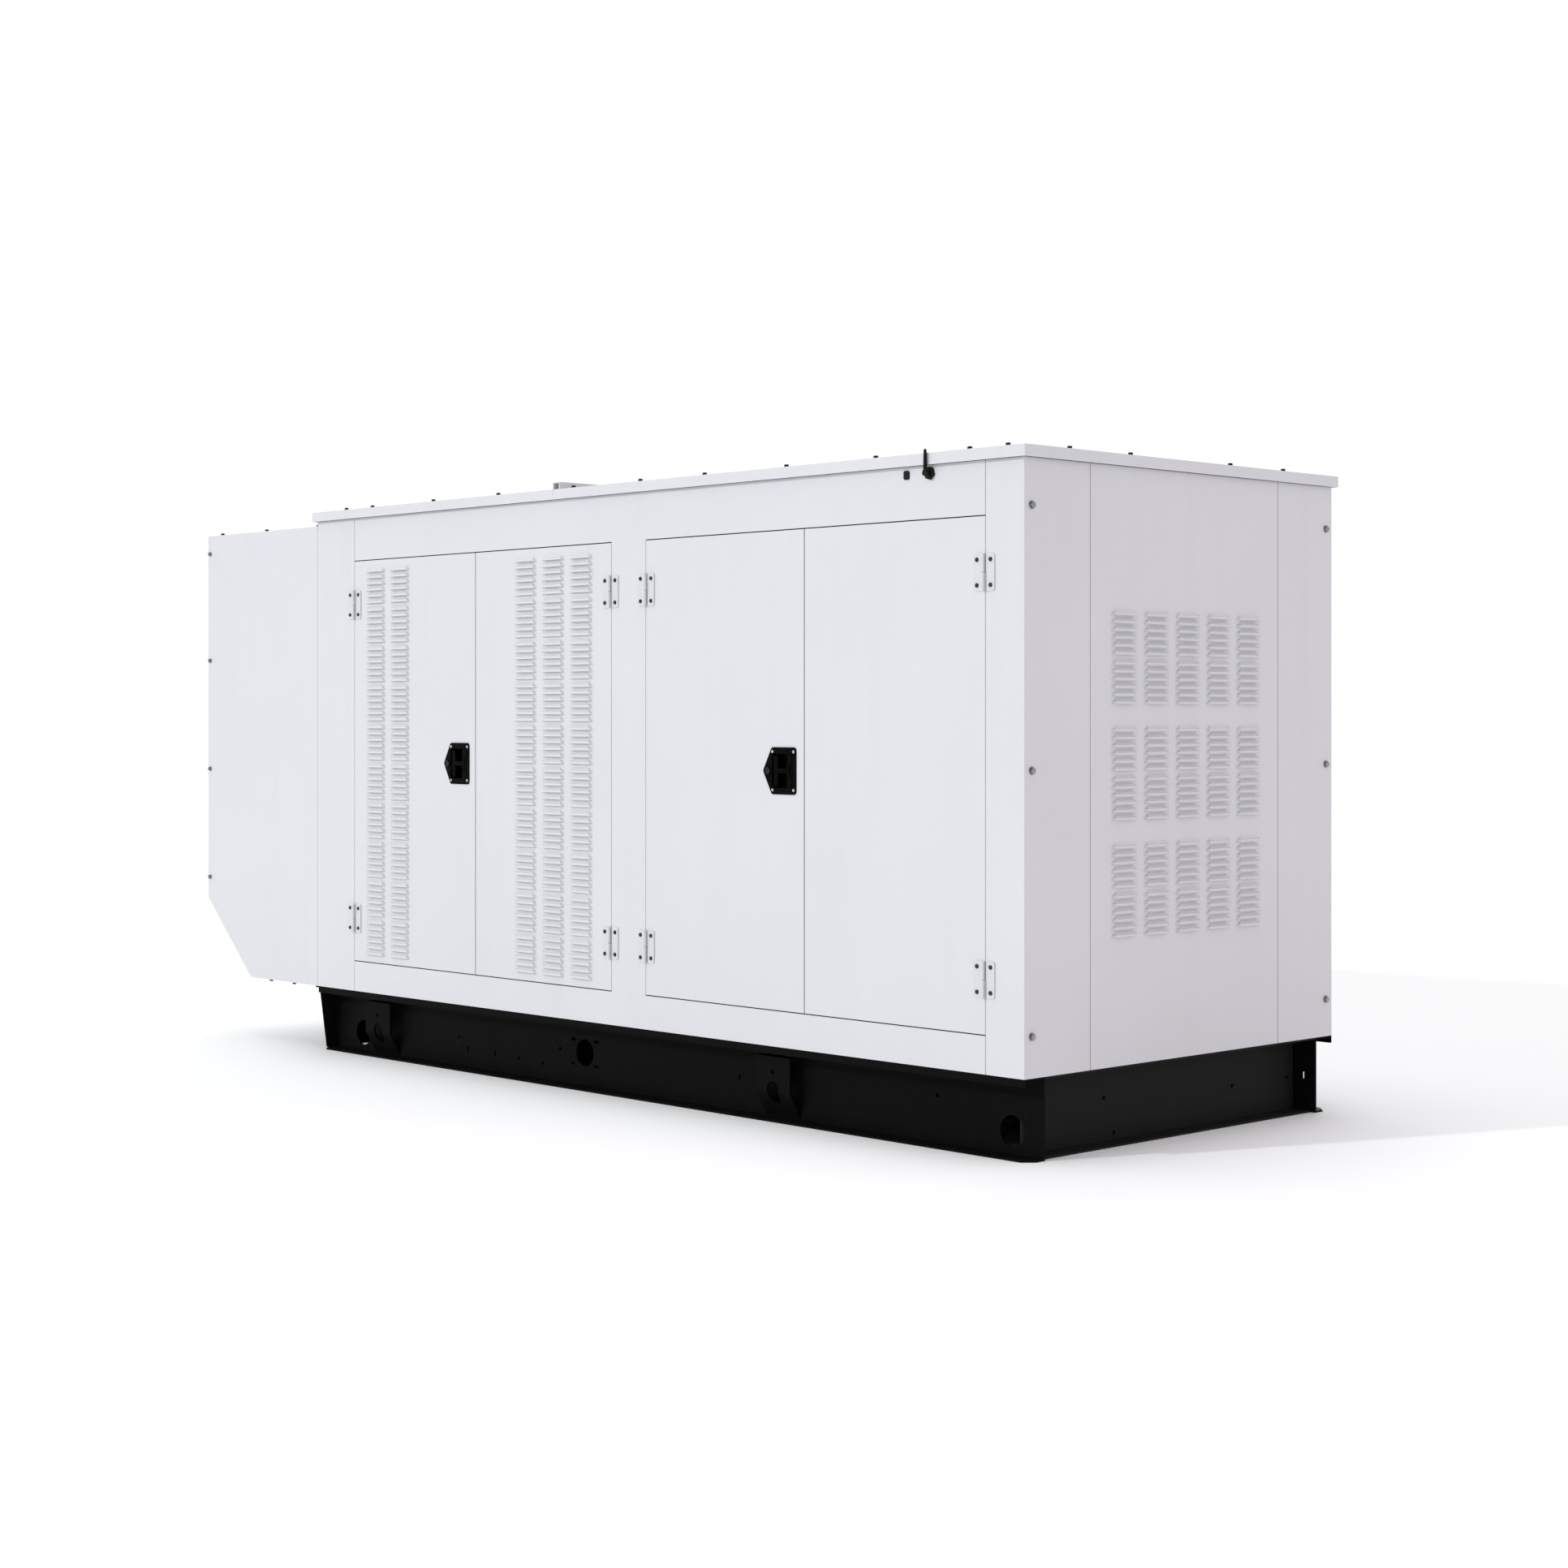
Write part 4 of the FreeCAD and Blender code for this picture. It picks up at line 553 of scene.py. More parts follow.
# ---- latches
def latch(prefix, body, side):
    """Recessed paddle latch: five-sided flange, drawn pocket, lock and T-handle."""
    low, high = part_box(prefix + "_latch_pan")
    nose = 0.0712
    x = low.x + nose if side < 0 else high.x - nose
    place = on_face(x, side, (low.z + high.z) / 2)

    def facing(a, b, level):
        return (a, -level, b)
    half = 0.0615
    five = [(-nose, 0), (-0.038, -half), (0.053, -half), (0.053, half), (-0.038, half)]
    mouth = rectangle(-0.0355, -0.0445, 0.0355, 0.0445, 0.009, 6)
    pan = Build(place)
    pan.plate(rounded(five, 0.009, 6), [mouth], facing, 0.0, 0.0028)
    rim = rectangle(-0.039, -0.048, 0.039, 0.048, 0.011, 6)
    pan.plate(rim, [mouth], facing, 0.0026, 0.0042)
    inner = [(a * 0.94, b * 0.95) for a, b in mouth]
    count = len(mouth)
    verts = [facing(a, b, 0.0035) for a, b in mouth]
    verts += [facing(a, b, -0.0175) for a, b in inner]
    walls = [(i, i + count, (i + 1) % count + count, (i + 1) % count) for i in range(count)]
    pan.add(verts, walls)
    pan.plate(rectangle(-0.0374, -0.0464, 0.0374, 0.0464, 0.009, 6), [], facing, -0.0196, -0.0172)
    pan.box((0.0185, -0.001, 0.018), (0.0335, 0.0185, 0.044))
    pan.box((0.0185, -0.001, -0.044), (0.0335, 0.0185, -0.018))
    pan.lathe((-0.05, -0.0028, 0), FRONT, [(0, 0.0112), (0.0022, 0.0108), (0.003, 0.0098)], 28)
    pan.finish(prefix + "_latch_body", LATCH, body, 0.0007, replaces=[prefix + "_latch_pan"])
    lock = Build(place)
    lock.lathe((-0.05, -0.005, 0), FRONT, [(0, 0.0086), (0.0018, 0.0086), (0.0024, 0.0078),
            (0.0024, 0.0062), (0.0019, 0.0058)], 28)
    lock.finish(prefix + "_lock_cylinder", LOCK, body)
    slot = Build(place)
    slot.box((-0.0508, -0.0072, -0.0042), (-0.0492, -0.0066, 0.0042))
    slot.finish(prefix + "_key_slot", SEAL, body, slot="latch_black")
    screws = Build(place)
    for a in (-0.0345, 0.0447):
        for b in (-0.05, 0.05):
            screws.button_screw((a, -0.0028, b), FRONT, 0.0042, 0.0022)
    screws.finish(prefix + "_latch_screws", ZINC, body)
    grip = Build(place)
    grip.box((-0.032, -0.0016, -0.0395), (-0.0165, 0.0062, 0.0395))
    grip.box((-0.02, -0.0008, -0.0062), (0.022, 0.0055, 0.0062))
    grip.box((-0.012, -0.0019, -0.003), (0.018, 0.0, 0.003))
    grip.lathe((0.02265, 0.007, -0.0155), UP, [(0, 0.008), (0.001, 0.0088), (0.03, 0.0088),
            (0.031, 0.008)], 24)
    grip.finish(prefix + "_t_handle", LATCH, prefix + "_handle", 0.0022, 3,
            replaces=[prefix + "_latch_handle"])


# ---- antenna
def antenna():
    """Bulkhead fitting with a hexagon nut, and the short whip that tilts on it."""
    low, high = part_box("antenna_mount")
    x, z = (low.x + high.x) / 2, (low.z + high.z) / 2
    mount = Build()
    mount.lathe((x, FACE_F, z), FRONT, [(0, 0.017), (0.0058, 0.017), (0.0072, 0.015),
            (0.0072, 0.006)], 6)
    mount.lathe((x, FACE_F - 0.0068, z), FRONT, [(0, 0.006), (0.0062, 0.006), (0.0062, 0.003),
            (0.015, 0.003)], 24)
    mount.lathe((x, FACE_F + 0.012, z), FRONT, [(0, 0.0039), (0.014, 0.0039)], 16)
    mount.finish("antenna_fitting", RUBBER, BASE, 0.0005, slot="antenna_fitting",
            replaces=["antenna_mount"])
    whip = Build()
    y = FACE_F - 0.0185
    whip.lathe((x, FACE_F - 0.0138, z), FRONT, [(0, 0.0068), (0.0008, 0.0078), (0.0078, 0.0078),
            (0.0088, 0.0066)], 28)
    profile = [(0.004, 0.005), (0.01, 0.005), (0.0105, 0.0044), (0.0125, 0.0044),
            (0.013, 0.0048), (0.045, 0.0042), (0.054, 0.004), (0.0575, 0.003), (0.0592, 0.0012)]
    whip.lathe((x, y, z), UP, profile, 28)
    whip.finish("antenna_whip", RUBBER, "antenna", replaces=["antenna"])


# ---- fasteners
def islands(node):
    """The low and high corner of each separate solid in a CAD node."""
    mesh = NODES[node].data
    where, owner = {}, []
    for vertex in mesh.vertices:
        key = tuple(round(c, 5) for c in vertex.co)
        owner.append(where.setdefault(key, len(where)))
    parent = list(range(len(where)))

    def root(item):
        while parent[item] != item:
            parent[item] = parent[parent[item]]
            item = parent[item]
        return item
    for edge in mesh.edges:
        parent[root(owner[edge.vertices[0]])] = root(owner[edge.vertices[1]])
    groups = {}
    for key, item in where.items():
        groups.setdefault(root(item), []).append(Vector(key))
    return [(Vector(map(min, zip(*points))), Vector(map(max, zip(*points))))
            for points in groups.values()]


def fasteners():
    """Flanged hexagon heads with chamfered crowns, and the blank plug in the header."""
    bright, dark, plug = Build(), Build(), Build()
    for low, high in islands("enclosure_bolts"):
        size, middle = high - low, (low + high) / 2
        if size.y < 0.004:
            shape = rectangle(-0.009, -0.011, 0.009, 0.011, 0.004)
            plug.place = lambda v: Vector((middle.x + v[0], high.y + v[1], middle.z + v[2]))
            plug.plate(shape, [], lambda a, b, c: (a, -c, b), 0.0, 0.0034)
            continue
        thin = min(range(3), key=lambda axis: size[axis])
        axis = Vector((0, 0, 0))
        axis[thin] = [1, 1 if middle.y > 0 else -1, 1 if middle.z > 0.9 else -1][thin]
        foot = middle - axis * size[thin] / 2
        wide = max(size) / 2
        kit = dark if thin == 2 else bright
        kit.hex_bolt(foot, axis, wide * 1.36, size[thin], wide)
    bright.finish("panel_bolts", CHROME, replaces=["enclosure_bolts"])
    dark.finish("roof_bolts", RUBBER, slot="fastener_steel")
    plug.finish("header_plug", RUBBER, BASE, 0.0008, slot="mount_rubber")


# ---- inside the doors
PAIRS = [(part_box(name)[0].x - GAP, side)
        for name, side in (("front_door_1", -1), ("front_door_3", -1), ("rear_door_2", 1))]
PAIR_WIDE = 1.2575
JAMB_IN, JAMB_OUT = 0.6005, 0.6245      # depth of an opening's sides, from the middle plane
DOOR_LOW, DOOR_HIGH = (corner.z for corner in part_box("centre_post_front"))
LEAF_LOW, LEAF_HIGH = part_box("front_door_3")
LEAF, LEAF_TALL = LEAF_HIGH.x - LEAF_LOW.x, LEAF_HIGH.z - LEAF_LOW.z
LATCH_X, LATCH_Z = 0.5446, 0.625        # the latch's middle on its leaf


def leaf_place(name, side):
    """Places a piece drawn on a leaf: its hinge or left edge at x = 0, +Y into the unit."""
    low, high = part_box(name)
    if side < 0:
        return lambda v: Vector((low.x + v[0], FACE_F + v[1], low.z + v[2]))
    return lambda v: Vector((high.x - v[0], FACE_R - v[1], low.z + v[2]))


def level_plate(build, outer, holes, low, high):
    """A plate drawn in (x, z), between two depths."""
    build.plate(outer, holes, lambda a, b, c: (a, c, b), low, high)


def door_liner(name, side, latched):
    """Quilted sound board with its pressed buttons, which stops short of the latch."""
    build, pins = Build(leaf_place(name, side)), Build(leaf_place(name, side))
    edge = 0.014
    right = LATCH_X - 0.046 if latched else LEAF - edge
    level_plate(build, rectangle(edge, edge, right, LEAF_TALL - edge, 0.008), [], 0.003, 0.0165)
    for column in range(3):
        for row in range(6):
            x = 0.1 + (right - 0.2) * column / 2
            z = 0.1 + (LEAF_TALL - 0.2) * row / 5
            pins.lathe((x, 0.0162, z), INWARD, [(0, 0.015), (0.0008, 0.0148), (0.0022, 0.006),
                    (0.0028, 0.002)], 20)
    build.finish(name + "_liner", LINER, name, 0.003, 3)
    pins.finish(name + "_liner_pins", ZINC, name)


def latch_rods(name, side):
    """Two rods that run from the latch to the head and the sill, with their guides."""
    rods, guides = Build(leaf_place(name, side)), Build(leaf_place(name, side))
    x = LEAF - 0.0215
    for low, high in ((0.012, LATCH_Z - 0.035), (LATCH_Z + 0.035, LEAF_TALL - 0.012)):
        rods.lathe((x, 0.015, low), UP, [(0, 0.0026), (0.004, 0.0042),
                (high - low - 0.004, 0.0042), (high - low, 0.0036)], 16)
    level_plate(rods, rectangle(x - 0.012, LATCH_Z - 0.052, x + 0.01, LATCH_Z + 0.052, 0.006), [],
            0.0085, 0.0112)
    for low in (LATCH_Z - 0.042, LATCH_Z + 0.034):
        rods.lathe((x, 0.0112, low + 0.004), INWARD, [(0, 0.005), (0.007, 0.005),
                (0.008, 0.004)], 16)
    for low in (0.035, 0.3, LEAF_TALL - 0.31, LEAF_TALL - 0.047):
        guides.box((x - 0.014, 0.0028, low), (x + 0.012, 0.0046, low + 0.024))
        for a, b in ((x - 0.0082, x - 0.0056), (x + 0.0056, x + 0.0082)):
            guides.box((a, 0.004, low), (b, 0.0208, low + 0.012))
        guides.box((x - 0.0082, 0.0196, low), (x + 0.0082, 0.0216, low + 0.012))
    rods.finish(name + "_latch_rods", ZINC, name, 0.0004)
    guides.finish(name + "_rod_guides", HINGE, name, 0.0004)


def door_insides():
    """Liners, latch rods and stiffeners of the leaves; seals round their openings, and painted
    shade in their gaps.
    """
    for name, side, latched in (("front_door_3", -1, True), ("front_door_4", -1, False),
            ("rear_door_1", 1, True), ("rear_door_2", 1, False)):
        door_liner(name, side, latched)
    for name, side in (("front_door_1", -1), ("front_door_3", -1), ("rear_door_1", 1)):
        latch_rods(name, side)
    for name, x in (("front_door_1", 0.355), ("front_door_2", 0.105)):
        hat = Build(leaf_place(name, -1))
        for a, b, low, high in ((x - 0.032, x - 0.016, 0.003, 0.0046),
                (x + 0.016, x + 0.032, 0.003, 0.0046), (x - 0.018, x + 0.018, 0.0165, 0.0181),
                (x - 0.018, x - 0.0164, 0.003, 0.0181), (x + 0.0164, x + 0.018, 0.003, 0.0181)):
            hat.box((a, low, 0.03), (b, high, LEAF_TALL - 0.03))
        hat.finish(name + "_stiffener", SKIN, name, 0.0005)
    seal_and_gap_shade = Build()
    for start, side in PAIRS:
        bead, inset, end = 0.0026, 0.0085, start + PAIR_WIDE
        y = (JAMB_IN + bead) * side
        a, b = start + inset, end - inset
        low, high = DOOR_LOW + inset, DOOR_HIGH - inset
        loop = arc_points([(a + 0.1, y, low), (b, y, low), (b, y, high), (a, y, high), (a, y, low),
                (a + 0.1, y, low)], 0.012, 4)
        seal_and_gap_shade.sweep(loop[:-1], bead, 10, True)
        near, far = sorted((JAMB_IN * side, JAMB_OUT * side))
        # Thin black sheets on both sides, the sill and the head of each opening: painted shade that
        # darkens the door gaps where shade falls.
        thin = 0.0005
        for x0, x1, z0, z1 in ((start, start + thin, DOOR_LOW, DOOR_HIGH),
                (end - thin, end, DOOR_LOW, DOOR_HIGH), (start, end, DOOR_LOW, DOOR_LOW + thin),
                (start, end, DOOR_HIGH - thin, DOOR_HIGH)):
            seal_and_gap_shade.box((x0, near, z0), (x1, far, z1))
    seal_and_gap_shade.finish("door_seals_and_gap_shade", SEAL)


# ---- engine dressing
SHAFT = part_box("crank_pulley")[0].z + 0.098
SLOPE = 0.7071      # sine and cosine of the valve covers' 45 degree slope


def slanted(x, side):
    """A place on a valve cover's sloping top: +X along the engine, +Y down the slope."""
    return lambda v: Vector((x + v[0], side * (0.2925 + SLOPE * v[1] + SLOPE * v[2]),
            0.9125 - SLOPE * v[1] + SLOPE * v[2]))


def engine_dressing():
    """Ribs, plugs, flanges and bolts of the block, coils, oil filter and dipstick."""
    iron, bolts, coils, filter_can = Build(), Build(), Build(), Build()
    left, right = (corner.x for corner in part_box("engine_block"))
    first, pitch = 0.13, 0.165      # cylinders along the block
    for side in (-1, 1):
        for index in range(5):
            x = left + 0.075 + 0.1525 * index
            iron.box((x - 0.005, side * 0.169, 0.447), (x + 0.005, side * 0.179, 0.615))
            if index < 4:
                iron.lathe((x + 0.076, side * 0.1695, 0.545), (0, side, 0),
                        [(0, 0.03), (0.004, 0.03), (0.005, 0.024), (0.002, 0.022)], 28)
        for index in range(9):
            bolts.hex_bolt((left + 0.05 + 0.0825 * index, side * 0.172, 0.4338), (0, 0, -1), 0.011,
                    0.007, 0.0085)
        for index in range(4):
            place = slanted(left + first + pitch * index, side)
            coils.place = bolts.place = place
            coils.box((-0.034, -0.02, 0.0), (0.034, 0.02, 0.02))
            coils.box((-0.026, -0.013, 0.02), (0.026, 0.013, 0.034))
            coils.box((-0.012, 0.013, 0.01), (0.012, 0.034, 0.028))
            for x in (-0.028, 0.028):
                bolts.hex_bolt((x, 0, 0.0205), UP, 0.008, 0.005, 0.0062)
        bolts.place = slanted(left + 0.03, side)
        for index in range(6):
            for down in (-0.043, 0.043):
                bolts.hex_bolt((0.015 + 0.134 * index, down, 0.0), UP, 0.01, 0.006, 0.0075)
        bolts.place = Vector
        for index in range(4):
            x = left + first + pitch * index
            iron.lathe((x, side * 0.292, 0.75), (0, side, 0), [(0, 0.04), (0.009, 0.04),
                    (0.01, 0.038)], 6, 30)
            for up in (-0.02652, 0.02652):
                bolts.hex_bolt((x, side * 0.302, 0.75 + up), (0, side, 0), 0.01, 0.006,
                        0.0065)
    iron.box((left + 0.012, -0.176, 0.434), (right - 0.012, 0.176, 0.447))
    cover = rounded([(-0.15, 0.452), (0.15, 0.452), (0.15, 0.62), (0.075, 0.735),
            (-0.075, 0.735), (-0.15, 0.62)], 0.03, 5)
    iron.plate(cover, [], lambda a, b, c: (left - c, a, b), 0.0, 0.016)
    for across, z in ((0.135, 0.468), (0.135, 0.54), (0.135, 0.61), (0.07, 0.718)):
        for y in (-across, across):
            bolts.hex_bolt((left - 0.016, y, z), (-1, 0, 0), 0.011, 0.007, 0.0085)
    iron.finish("engine_ribs", IRON, BASE, 0.0012)
    bolts.finish("engine_bolts", ZINC)
    coils.finish("ignition_coils", AIRBOX, BASE, 0.0022, 3)
    filter_can.lathe((left + 0.55, -0.17, 0.505), FRONT, [(0, 0.04), (0.012, 0.04),
            (0.012, 0.047), (0.1, 0.047), (0.112, 0.043), (0.117, 0.034), (0.118, 0.016)], 32)
    filter_can.finish("oil_filter", FILTER, BASE, 0.001)
    stick, handle = Build(), Build()
    x, y = left + 0.4, -0.425
    stick.sweep(arc_points([(x + 0.02, -0.172, 0.5), (x + 0.02, -0.22, 0.52), (x, -0.42, 0.78),
            (x, y, 0.93)], 0.05), 0.0045, 12)
    stick.finish("dipstick_tube", ZINC)
    handle.sweep([(x + a, y, b) for a, b in circle(0.016, 16, 0.955)], 0.003, 10, True)
    handle.lathe((x, y, 0.925), UP, [(0, 0.0062), (0.012, 0.0062), (0.015, 0.004)], 16)
    handle.finish("dipstick_handle", YELLOW)


def intake_and_exhaust():
    """Bands and ridges of the air cleaner, straps, seams and hangers of the muffler."""
    bands, ridges, straps, hangers = Build(), Build(), Build(), Build()
    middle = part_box("air_cleaner")[1].z - 0.126
    for x in (-0.875, -0.715, -0.575):
        bands.turn((x, 0, middle), ALONG, band(0.016, 0.1203, 0.1222), 48)
        bands.box((x - 0.001, -0.012, middle + 0.12), (x + 0.017, 0.012, middle + 0.136))
    bands.finish("air_cleaner_bands", ZINC, BASE, 0.0005)
    for index in range(9):
        ridges.turn((-0.862 + 0.035 * index, 0, middle), ALONG,
                [(0, 0.1198), (0.004, 0.1226), (0.01, 0.1226), (0.014, 0.1198)], 48)
    ridges.finish("air_cleaner_ridges", AIRBOX)
    axis_z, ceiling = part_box("exhaust_system")[1].z - 0.092, 1.684
    for x in (-0.95, -0.43):
        straps.turn((x, 0, axis_z), ALONG, band(0.03, 0.0921, 0.0945), 56)
        for side in (-1, 1):
            hangers.lathe((x + 0.015, side * 0.05, axis_z + 0.074), UP,
                    [(0, 0.005), (ceiling - axis_z - 0.074, 0.005)], 14)
            hangers.hex_bolt((x + 0.015, side * 0.05, ceiling - 0.002), (0, 0, -1), 0.013, 0.008,
                    0.013)
    for x in (-1.086, -0.294):
        straps.turn((x - 0.004, 0, axis_z), ALONG, [(0, 0.0905), (0.001, 0.094), (0.007, 0.094),
                (0.008, 0.0905)], 56)
    straps.finish("muffler_straps", STEEL)
    hangers.finish("muffler_hangers", ZINC)


def cooling():
    """Fan shroud, filler cap, and the two rigid coolant pipes with their couplings."""
    face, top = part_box("radiator")[1].x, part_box("radiator")[1].z
    middle, bore = 0.8, 0.342
    shroud, cap = Build(), Build()
    shroud.plate(rectangle(-0.4, 0.4, 0.4, 1.2, 0.03), [circle(bore, 72, middle)],
            lambda a, b, c: (face + c, a, b), 0.0005, 0.003)
    shroud.turn((face + 0.0028, 0, middle), ALONG, [(0, bore), (0.125, bore),
            (0.13, bore + 0.005), (0.13, bore + 0.007), (0.124, bore + 0.0025),
            (0, bore + 0.0025)], 72)
    shroud.finish("fan_shroud", PAN)
    cap.lathe((face - 0.04, -0.3, top - 0.002), UP, [(0, 0.03), (0.012, 0.03), (0.012, 0.036),
            (0.022, 0.036), (0.025, 0.03), (0.026, 0.012)], 36)
    cap.box((face - 0.076, -0.307, top + 0.014), (face - 0.004, -0.293, top + 0.022))
    cap.finish("filler_cap", CHROME, BASE, 0.0008)
    pipes, couplings, clamps = Build(), Build(), Build()
    upper = [(face - 0.01, 0.24, 1.445), (face + 0.14, 0.24, 1.445), (-1.105, 0.19, 1.27),
            (-1.105, 0.165, 0.99), (-1.105, 0.165, 0.86)]
    lower = [(face - 0.01, -0.405, 0.345), (-1.27, -0.405, 0.345), (-1.13, -0.3, 0.345),
            (-1.1, -0.16, 0.52)]
    for line in (upper, lower):
        pipes.sweep(arc_points(line, 0.07, 8), 0.021, 20)
        for point, toward in ((line[0], line[1]), (line[-1], line[-2])):
            start, along = Vector(point), (Vector(toward) - Vector(point)).normalized()
            couplings.lathe(start, along, [(0, 0.0255), (0.003, 0.0265), (0.058, 0.0265),
                    (0.06, 0.025)], 28)
            for offset in (0.016, 0.04):
                clamps.turn(start + along * offset, along, band(0.009, 0.0264, 0.028), 28)
    pipes.finish("coolant_pipes", ALLOY)
    couplings.finish("coolant_couplings", SEAL)
    clamps.finish("coolant_clamps", ZINC)


# ---- generator head, controls
def generator_dressing():
    """Ribs, end rings, grille, bolts and lifting eyes of the generator, and its box's lid."""
    ribs, bolts, eye = Build(), Build(), Build()
    left, right, radius = -0.388, 0.512, 0.285

    def fin(x, y, z):
        """Places a rib at x, with +Y away from the shaft along (y, z)."""
        return lambda v: Vector((x + v[0], y * v[1] - z * v[2], SHAFT + z * v[1] + y * v[2]))
    for y, z in circle(1.0, 36, start=5):
        ribs.place = fin(0, y, z)
        ribs.box((left + 0.1, radius - 0.002, -0.0035), (right - 0.08, radius + 0.009, 0.0035))
    ribs.place = Vector
    deep, inner, outer = 0.03, radius - 0.002, radius + 0.012
    for x in (left, right - deep):
        ribs.turn((x, 0, SHAFT), ALONG, [(0, inner), (0, outer - 0.002), (0.002, outer),
                (deep - 0.002, outer), (deep, outer - 0.002), (deep, inner)], 96)
    for y, z in circle(1.0, 12, start=15):
        bolts.hex_bolt((right - 0.0005, y * 0.262, SHAFT + z * 0.262), ALONG, 0.015, 0.01, 0.0115)
        bolts.hex_bolt((right + 0.0695, y * 0.205, SHAFT + z * 0.205), ALONG, 0.012, 0.008, 0.0095)
    for y, z in circle(1.0, 18):
        ribs.place = fin(right + 0.07, y, z)
        ribs.box((-0.002, 0.1, -0.003), (0.006, 0.19, 0.003))
    ribs.place = Vector
    lid = 0.968
    ribs.box((-0.094, -0.156, lid - 0.017), (0.248, 0.156, lid))
    for x in (-0.073, 0.077, 0.227):
        for y in (-0.137, 0.137):
            bolts.hex_bolt((x, y, lid), UP, 0.01, 0.006, 0.0085)
    ribs.finish("generator_ribs", GENSET, BASE, 0.001)
    bolts.finish("generator_bolts", ZINC)
    for x in (-0.26, 0.4):
        eye.sweep([(x, a, b) for a, b in circle(0.03, 20, SHAFT + radius + 0.04)], 0.0075, 14,
                True)
        eye.lathe((x, 0, SHAFT + radius - 0.002), UP, [(0, 0.024), (0.008, 0.024), (0.01, 0.014),
                (0.012, 0.01)], 28)
    eye.finish("generator_eyes", STEEL)


def cabinet_dressing():
    """Door edge, display, keys, lamps and locks, all without lettering."""
    left, right, low, high = 0.8, 1.28, 0.93, 1.49
    key_left = 0.892

    def before(face):
        return lambda v: Vector((v[0], face - v[1], v[2]))
    panel = Build(before(-0.4385))
    glass, keys, lamps = (Build(before(-0.4465)) for _ in range(3))
    screws = Build()
    level_plate(panel, rectangle(left + 0.008, low + 0.008, right - 0.008, high - 0.008, 0.01),
            [rectangle(left + 0.022, low + 0.022, right - 0.022, high - 0.022, 0.006)], -0.0005,
            0.0035)
    for z in (low + 0.1, high - 0.16):
        panel.lathe((left + 0.004, 0.004, z), UP, [(0, 0.0045), (0.001, 0.0052), (0.059, 0.0052),
                (0.06, 0.0045)], 16)
    for row in range(7):
        z = low + 0.075 + row * 0.021
        panel.box((left + 0.3, 0.0, z), (left + 0.44, 0.005, z + 0.003))
        panel.box((left + 0.3, 0.0035, z + 0.003), (left + 0.44, 0.0062, z + 0.007))
    panel.finish("cabinet_trim", CABINET, BASE, 0.0008)
    level_plate(glass, rectangle(0.875, 1.318, 1.075, 1.408, 0.005), [], -0.0005, 0.0014)
    glass.finish("cabinet_display", SCREEN, BASE, 0.0004)
    for index in range(6):
        x = key_left + index * 0.0332
        level_plate(keys, rectangle(x - 0.011, 1.284, x + 0.011, 1.3, 0.004), [], -0.0005,
                0.0032)
    for z in (low + 0.2, high - 0.2):
        keys.lathe((right - 0.035, -0.008, z), INWARD, [(0, 0.016), (0.006, 0.016),
                (0.008, 0.014), (0.01, 0.006)], 28)
    keys.finish("cabinet_keys", MOUNT, BASE, 0.0007)
    for index in range(5):
        lamps.lathe((key_left + index * 0.0265, -0.001, 1.309), INWARD,
                [(0, 0.0024), (0.0022, 0.0024), (0.003, 0.0014)], 14)
    lamps.finish("cabinet_lamps", RED)
    for x in (0.868, 0.982):
        for z in (1.0, 1.17):
            screws.lathe((x, -0.4785, z), FRONT, [(0, 0.005), (0.002, 0.0048), (0.003, 0.003)], 18)
    for x in (0.868, 1.082):
        for z in (1.268, 1.412):
            screws.lathe((x, -0.4465, z), FRONT, [(0, 0.0038), (0.0014, 0.0036), (0.0022, 0.002)],
                    18)
    screws.finish("cabinet_screws", ZINC)


def battery_and_fuel():
    """Filler caps and terminal clamps; pipe nuts, regulator cover and shut-off lever."""
    caps, clamps, fittings, lever = Build(), Build(), Build(), Build()
    for index in range(6):
        caps.lathe((0.935 + 0.042 * index, -0.165, 0.4165), UP,
                [(0, 0.013), (0.006, 0.013), (0.008, 0.011), (0.008, 0.004)], 24)
    caps.box((0.88, -0.222, 0.4165), (1.2, -0.205, 0.4225))
    caps.finish("battery_caps", BATTERY, BASE, 0.0012)
    for x in (0.92, 1.16):
        clamps.turn((x, -0.26, 0.419), UP, band(0.011, 0.0088, 0.014), 24)
        clamps.box((x - 0.006, -0.246, 0.42), (x + 0.006, -0.228, 0.429))
        clamps.hex_bolt((x + 0.006, -0.238, 0.4245), ALONG, 0.008, 0.006, 0.0055)
    clamps.finish("battery_clamps", BRASS, BASE, 0.0005)
    x = sum(corner.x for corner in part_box("fuel_train")) / 2
    for y, z in ((-0.45, 0.212), (-0.45, 0.305), (-0.45, 0.4), (-0.455, 0.6)):
        fittings.lathe((x, y, z), UP, [(0, 0.031), (0.002, 0.034), (0.02, 0.034), (0.022, 0.031)],
                6)
    for a, b in circle(0.066, 8, 0.5, 22.5):
        fittings.hex_bolt((x + a, -0.4995, b), FRONT, 0.01, 0.007, 0.008)
    fittings.lathe((x, -0.5, 0.5), FRONT, [(0, 0.045), (0.012, 0.038), (0.03, 0.026),
            (0.034, 0.026), (0.034, 0.012)], 32)
    fittings.finish("fuel_fittings", BRASS, BASE, 0.0006)
    lever.lathe((x, -0.49, 0.365), FRONT, [(0, 0.016), (0.012, 0.016), (0.014, 0.012)], 20)
    lever.box((x - 0.008, -0.506, 0.357), (x + 0.11, -0.5, 0.373))
    lever.finish("fuel_valve_lever", YELLOW, BASE, 0.0016)


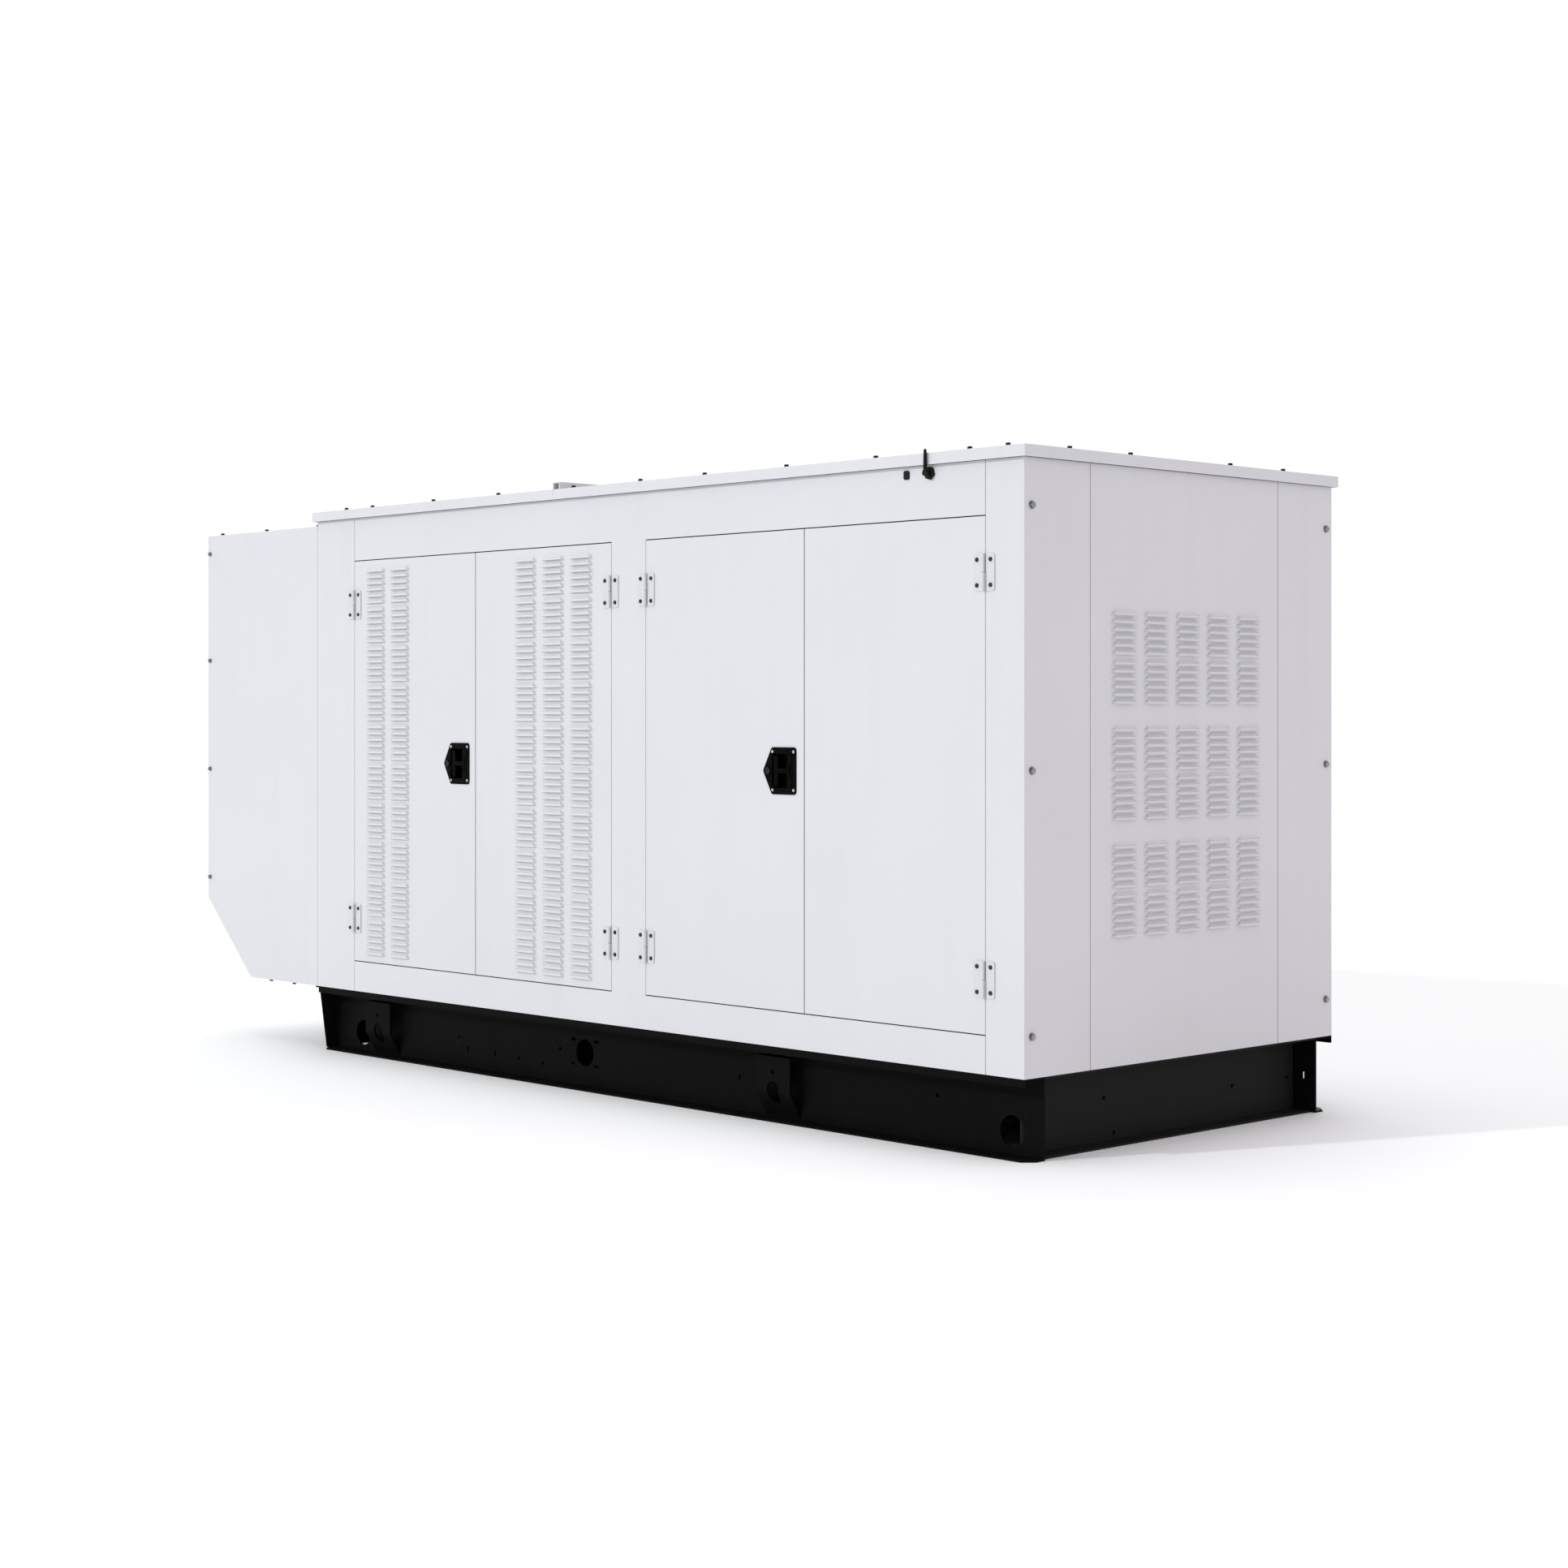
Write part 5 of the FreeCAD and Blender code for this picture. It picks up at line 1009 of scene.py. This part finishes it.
# ---- camera, light
def stage():
    """A white floor, a soft studio round it and three lamps."""
    far = 40
    mesh = bpy.data.meshes.new("floor")
    mesh.from_pydata([(-far, -far, 0), (far, -far, 0), (far, far, 0), (-far, far, 0)], [],
            [(0, 1, 2, 3)])
    thing = bpy.data.objects.new("floor", mesh)
    bpy.context.scene.collection.objects.link(thing)
    mesh.materials.append(pale_floor())
    bpy.context.scene.view_settings.view_transform = "Standard"
    world = bpy.data.worlds.new("studio")
    world.use_nodes = True
    tree = world.node_tree
    sky = tree.nodes["Background"]
    coords = tree.nodes.new("ShaderNodeTexCoord")
    turn = tree.nodes.new("ShaderNodeVectorMath")
    turn.operation = "DOT_PRODUCT"
    turn.inputs[1].default_value = (-0.72, 0.69, 0.0)
    fade = tree.nodes.new("ShaderNodeMapRange")
    for label, amount in (("From Min", -0.9), ("From Max", 0.75), ("To Min", 0.5),
            ("To Max", 1.08)):
        fade.inputs[label].default_value = amount
    tree.links.new(coords.outputs["Generated"], turn.inputs[0])
    tree.links.new(turn.outputs["Value"], fade.inputs["Value"])
    tree.links.new(fade.outputs["Result"], sky.inputs["Strength"])
    sky.inputs["Color"].default_value = (0.985, 0.99, 1.0, 1)
    bpy.context.scene.world = world
    lamps = [
        ("key", (-3.6, -9.0, 4.4), 2, 1.14, (0.975, 0.985, 1.0)),
        ("side", (8.0, 3.0, 3.0), 5, 0.22, (1.0, 0.4, 0.66)),
        ("top", (-1.0, -0.6, 8.0), 40, 0.5, (1.0, 1.0, 1.0)),
    ]
    for name, place, spread, power, color in lamps:
        lamp = bpy.data.lights.new(name, "SUN")
        lamp.angle = math.radians(spread)
        lamp.energy = power
        lamp.color = color
        holder = bpy.data.objects.new(name, lamp)
        holder.location = place
        holder.rotation_euler = (-Vector(place)).to_track_quat("-Z", "Y").to_euler()
        bpy.context.scene.collection.objects.link(holder)


def camera():
    """Level camera at chest height, off the front right corner."""
    data = bpy.data.cameras.new("camera")
    data.lens = 60.59
    data.sensor_width = 36.0
    data.shift_y = -0.0452
    data.clip_end = 200
    holder = bpy.data.objects.new("camera", data)
    holder.location = (RIGHT + 4.146, -5.368, 1.0735)
    holder.rotation_euler = (math.radians(90), 0, math.radians(46.38))
    bpy.context.scene.collection.objects.link(holder)
    bpy.context.scene.camera = holder


camera()
stage()
louver_sets()
hinges()
for label, carrier, way in (("front_left", "front_door_1", -1),
        ("front_right", "front_door_3", -1), ("rear", "rear_door_1", 1)):
    latch(label, carrier, way)
antenna()
fasteners()
door_insides()
engine_dressing()
intake_and_exhaust()
cooling()
generator_dressing()
cabinet_dressing()
battery_and_fuel()
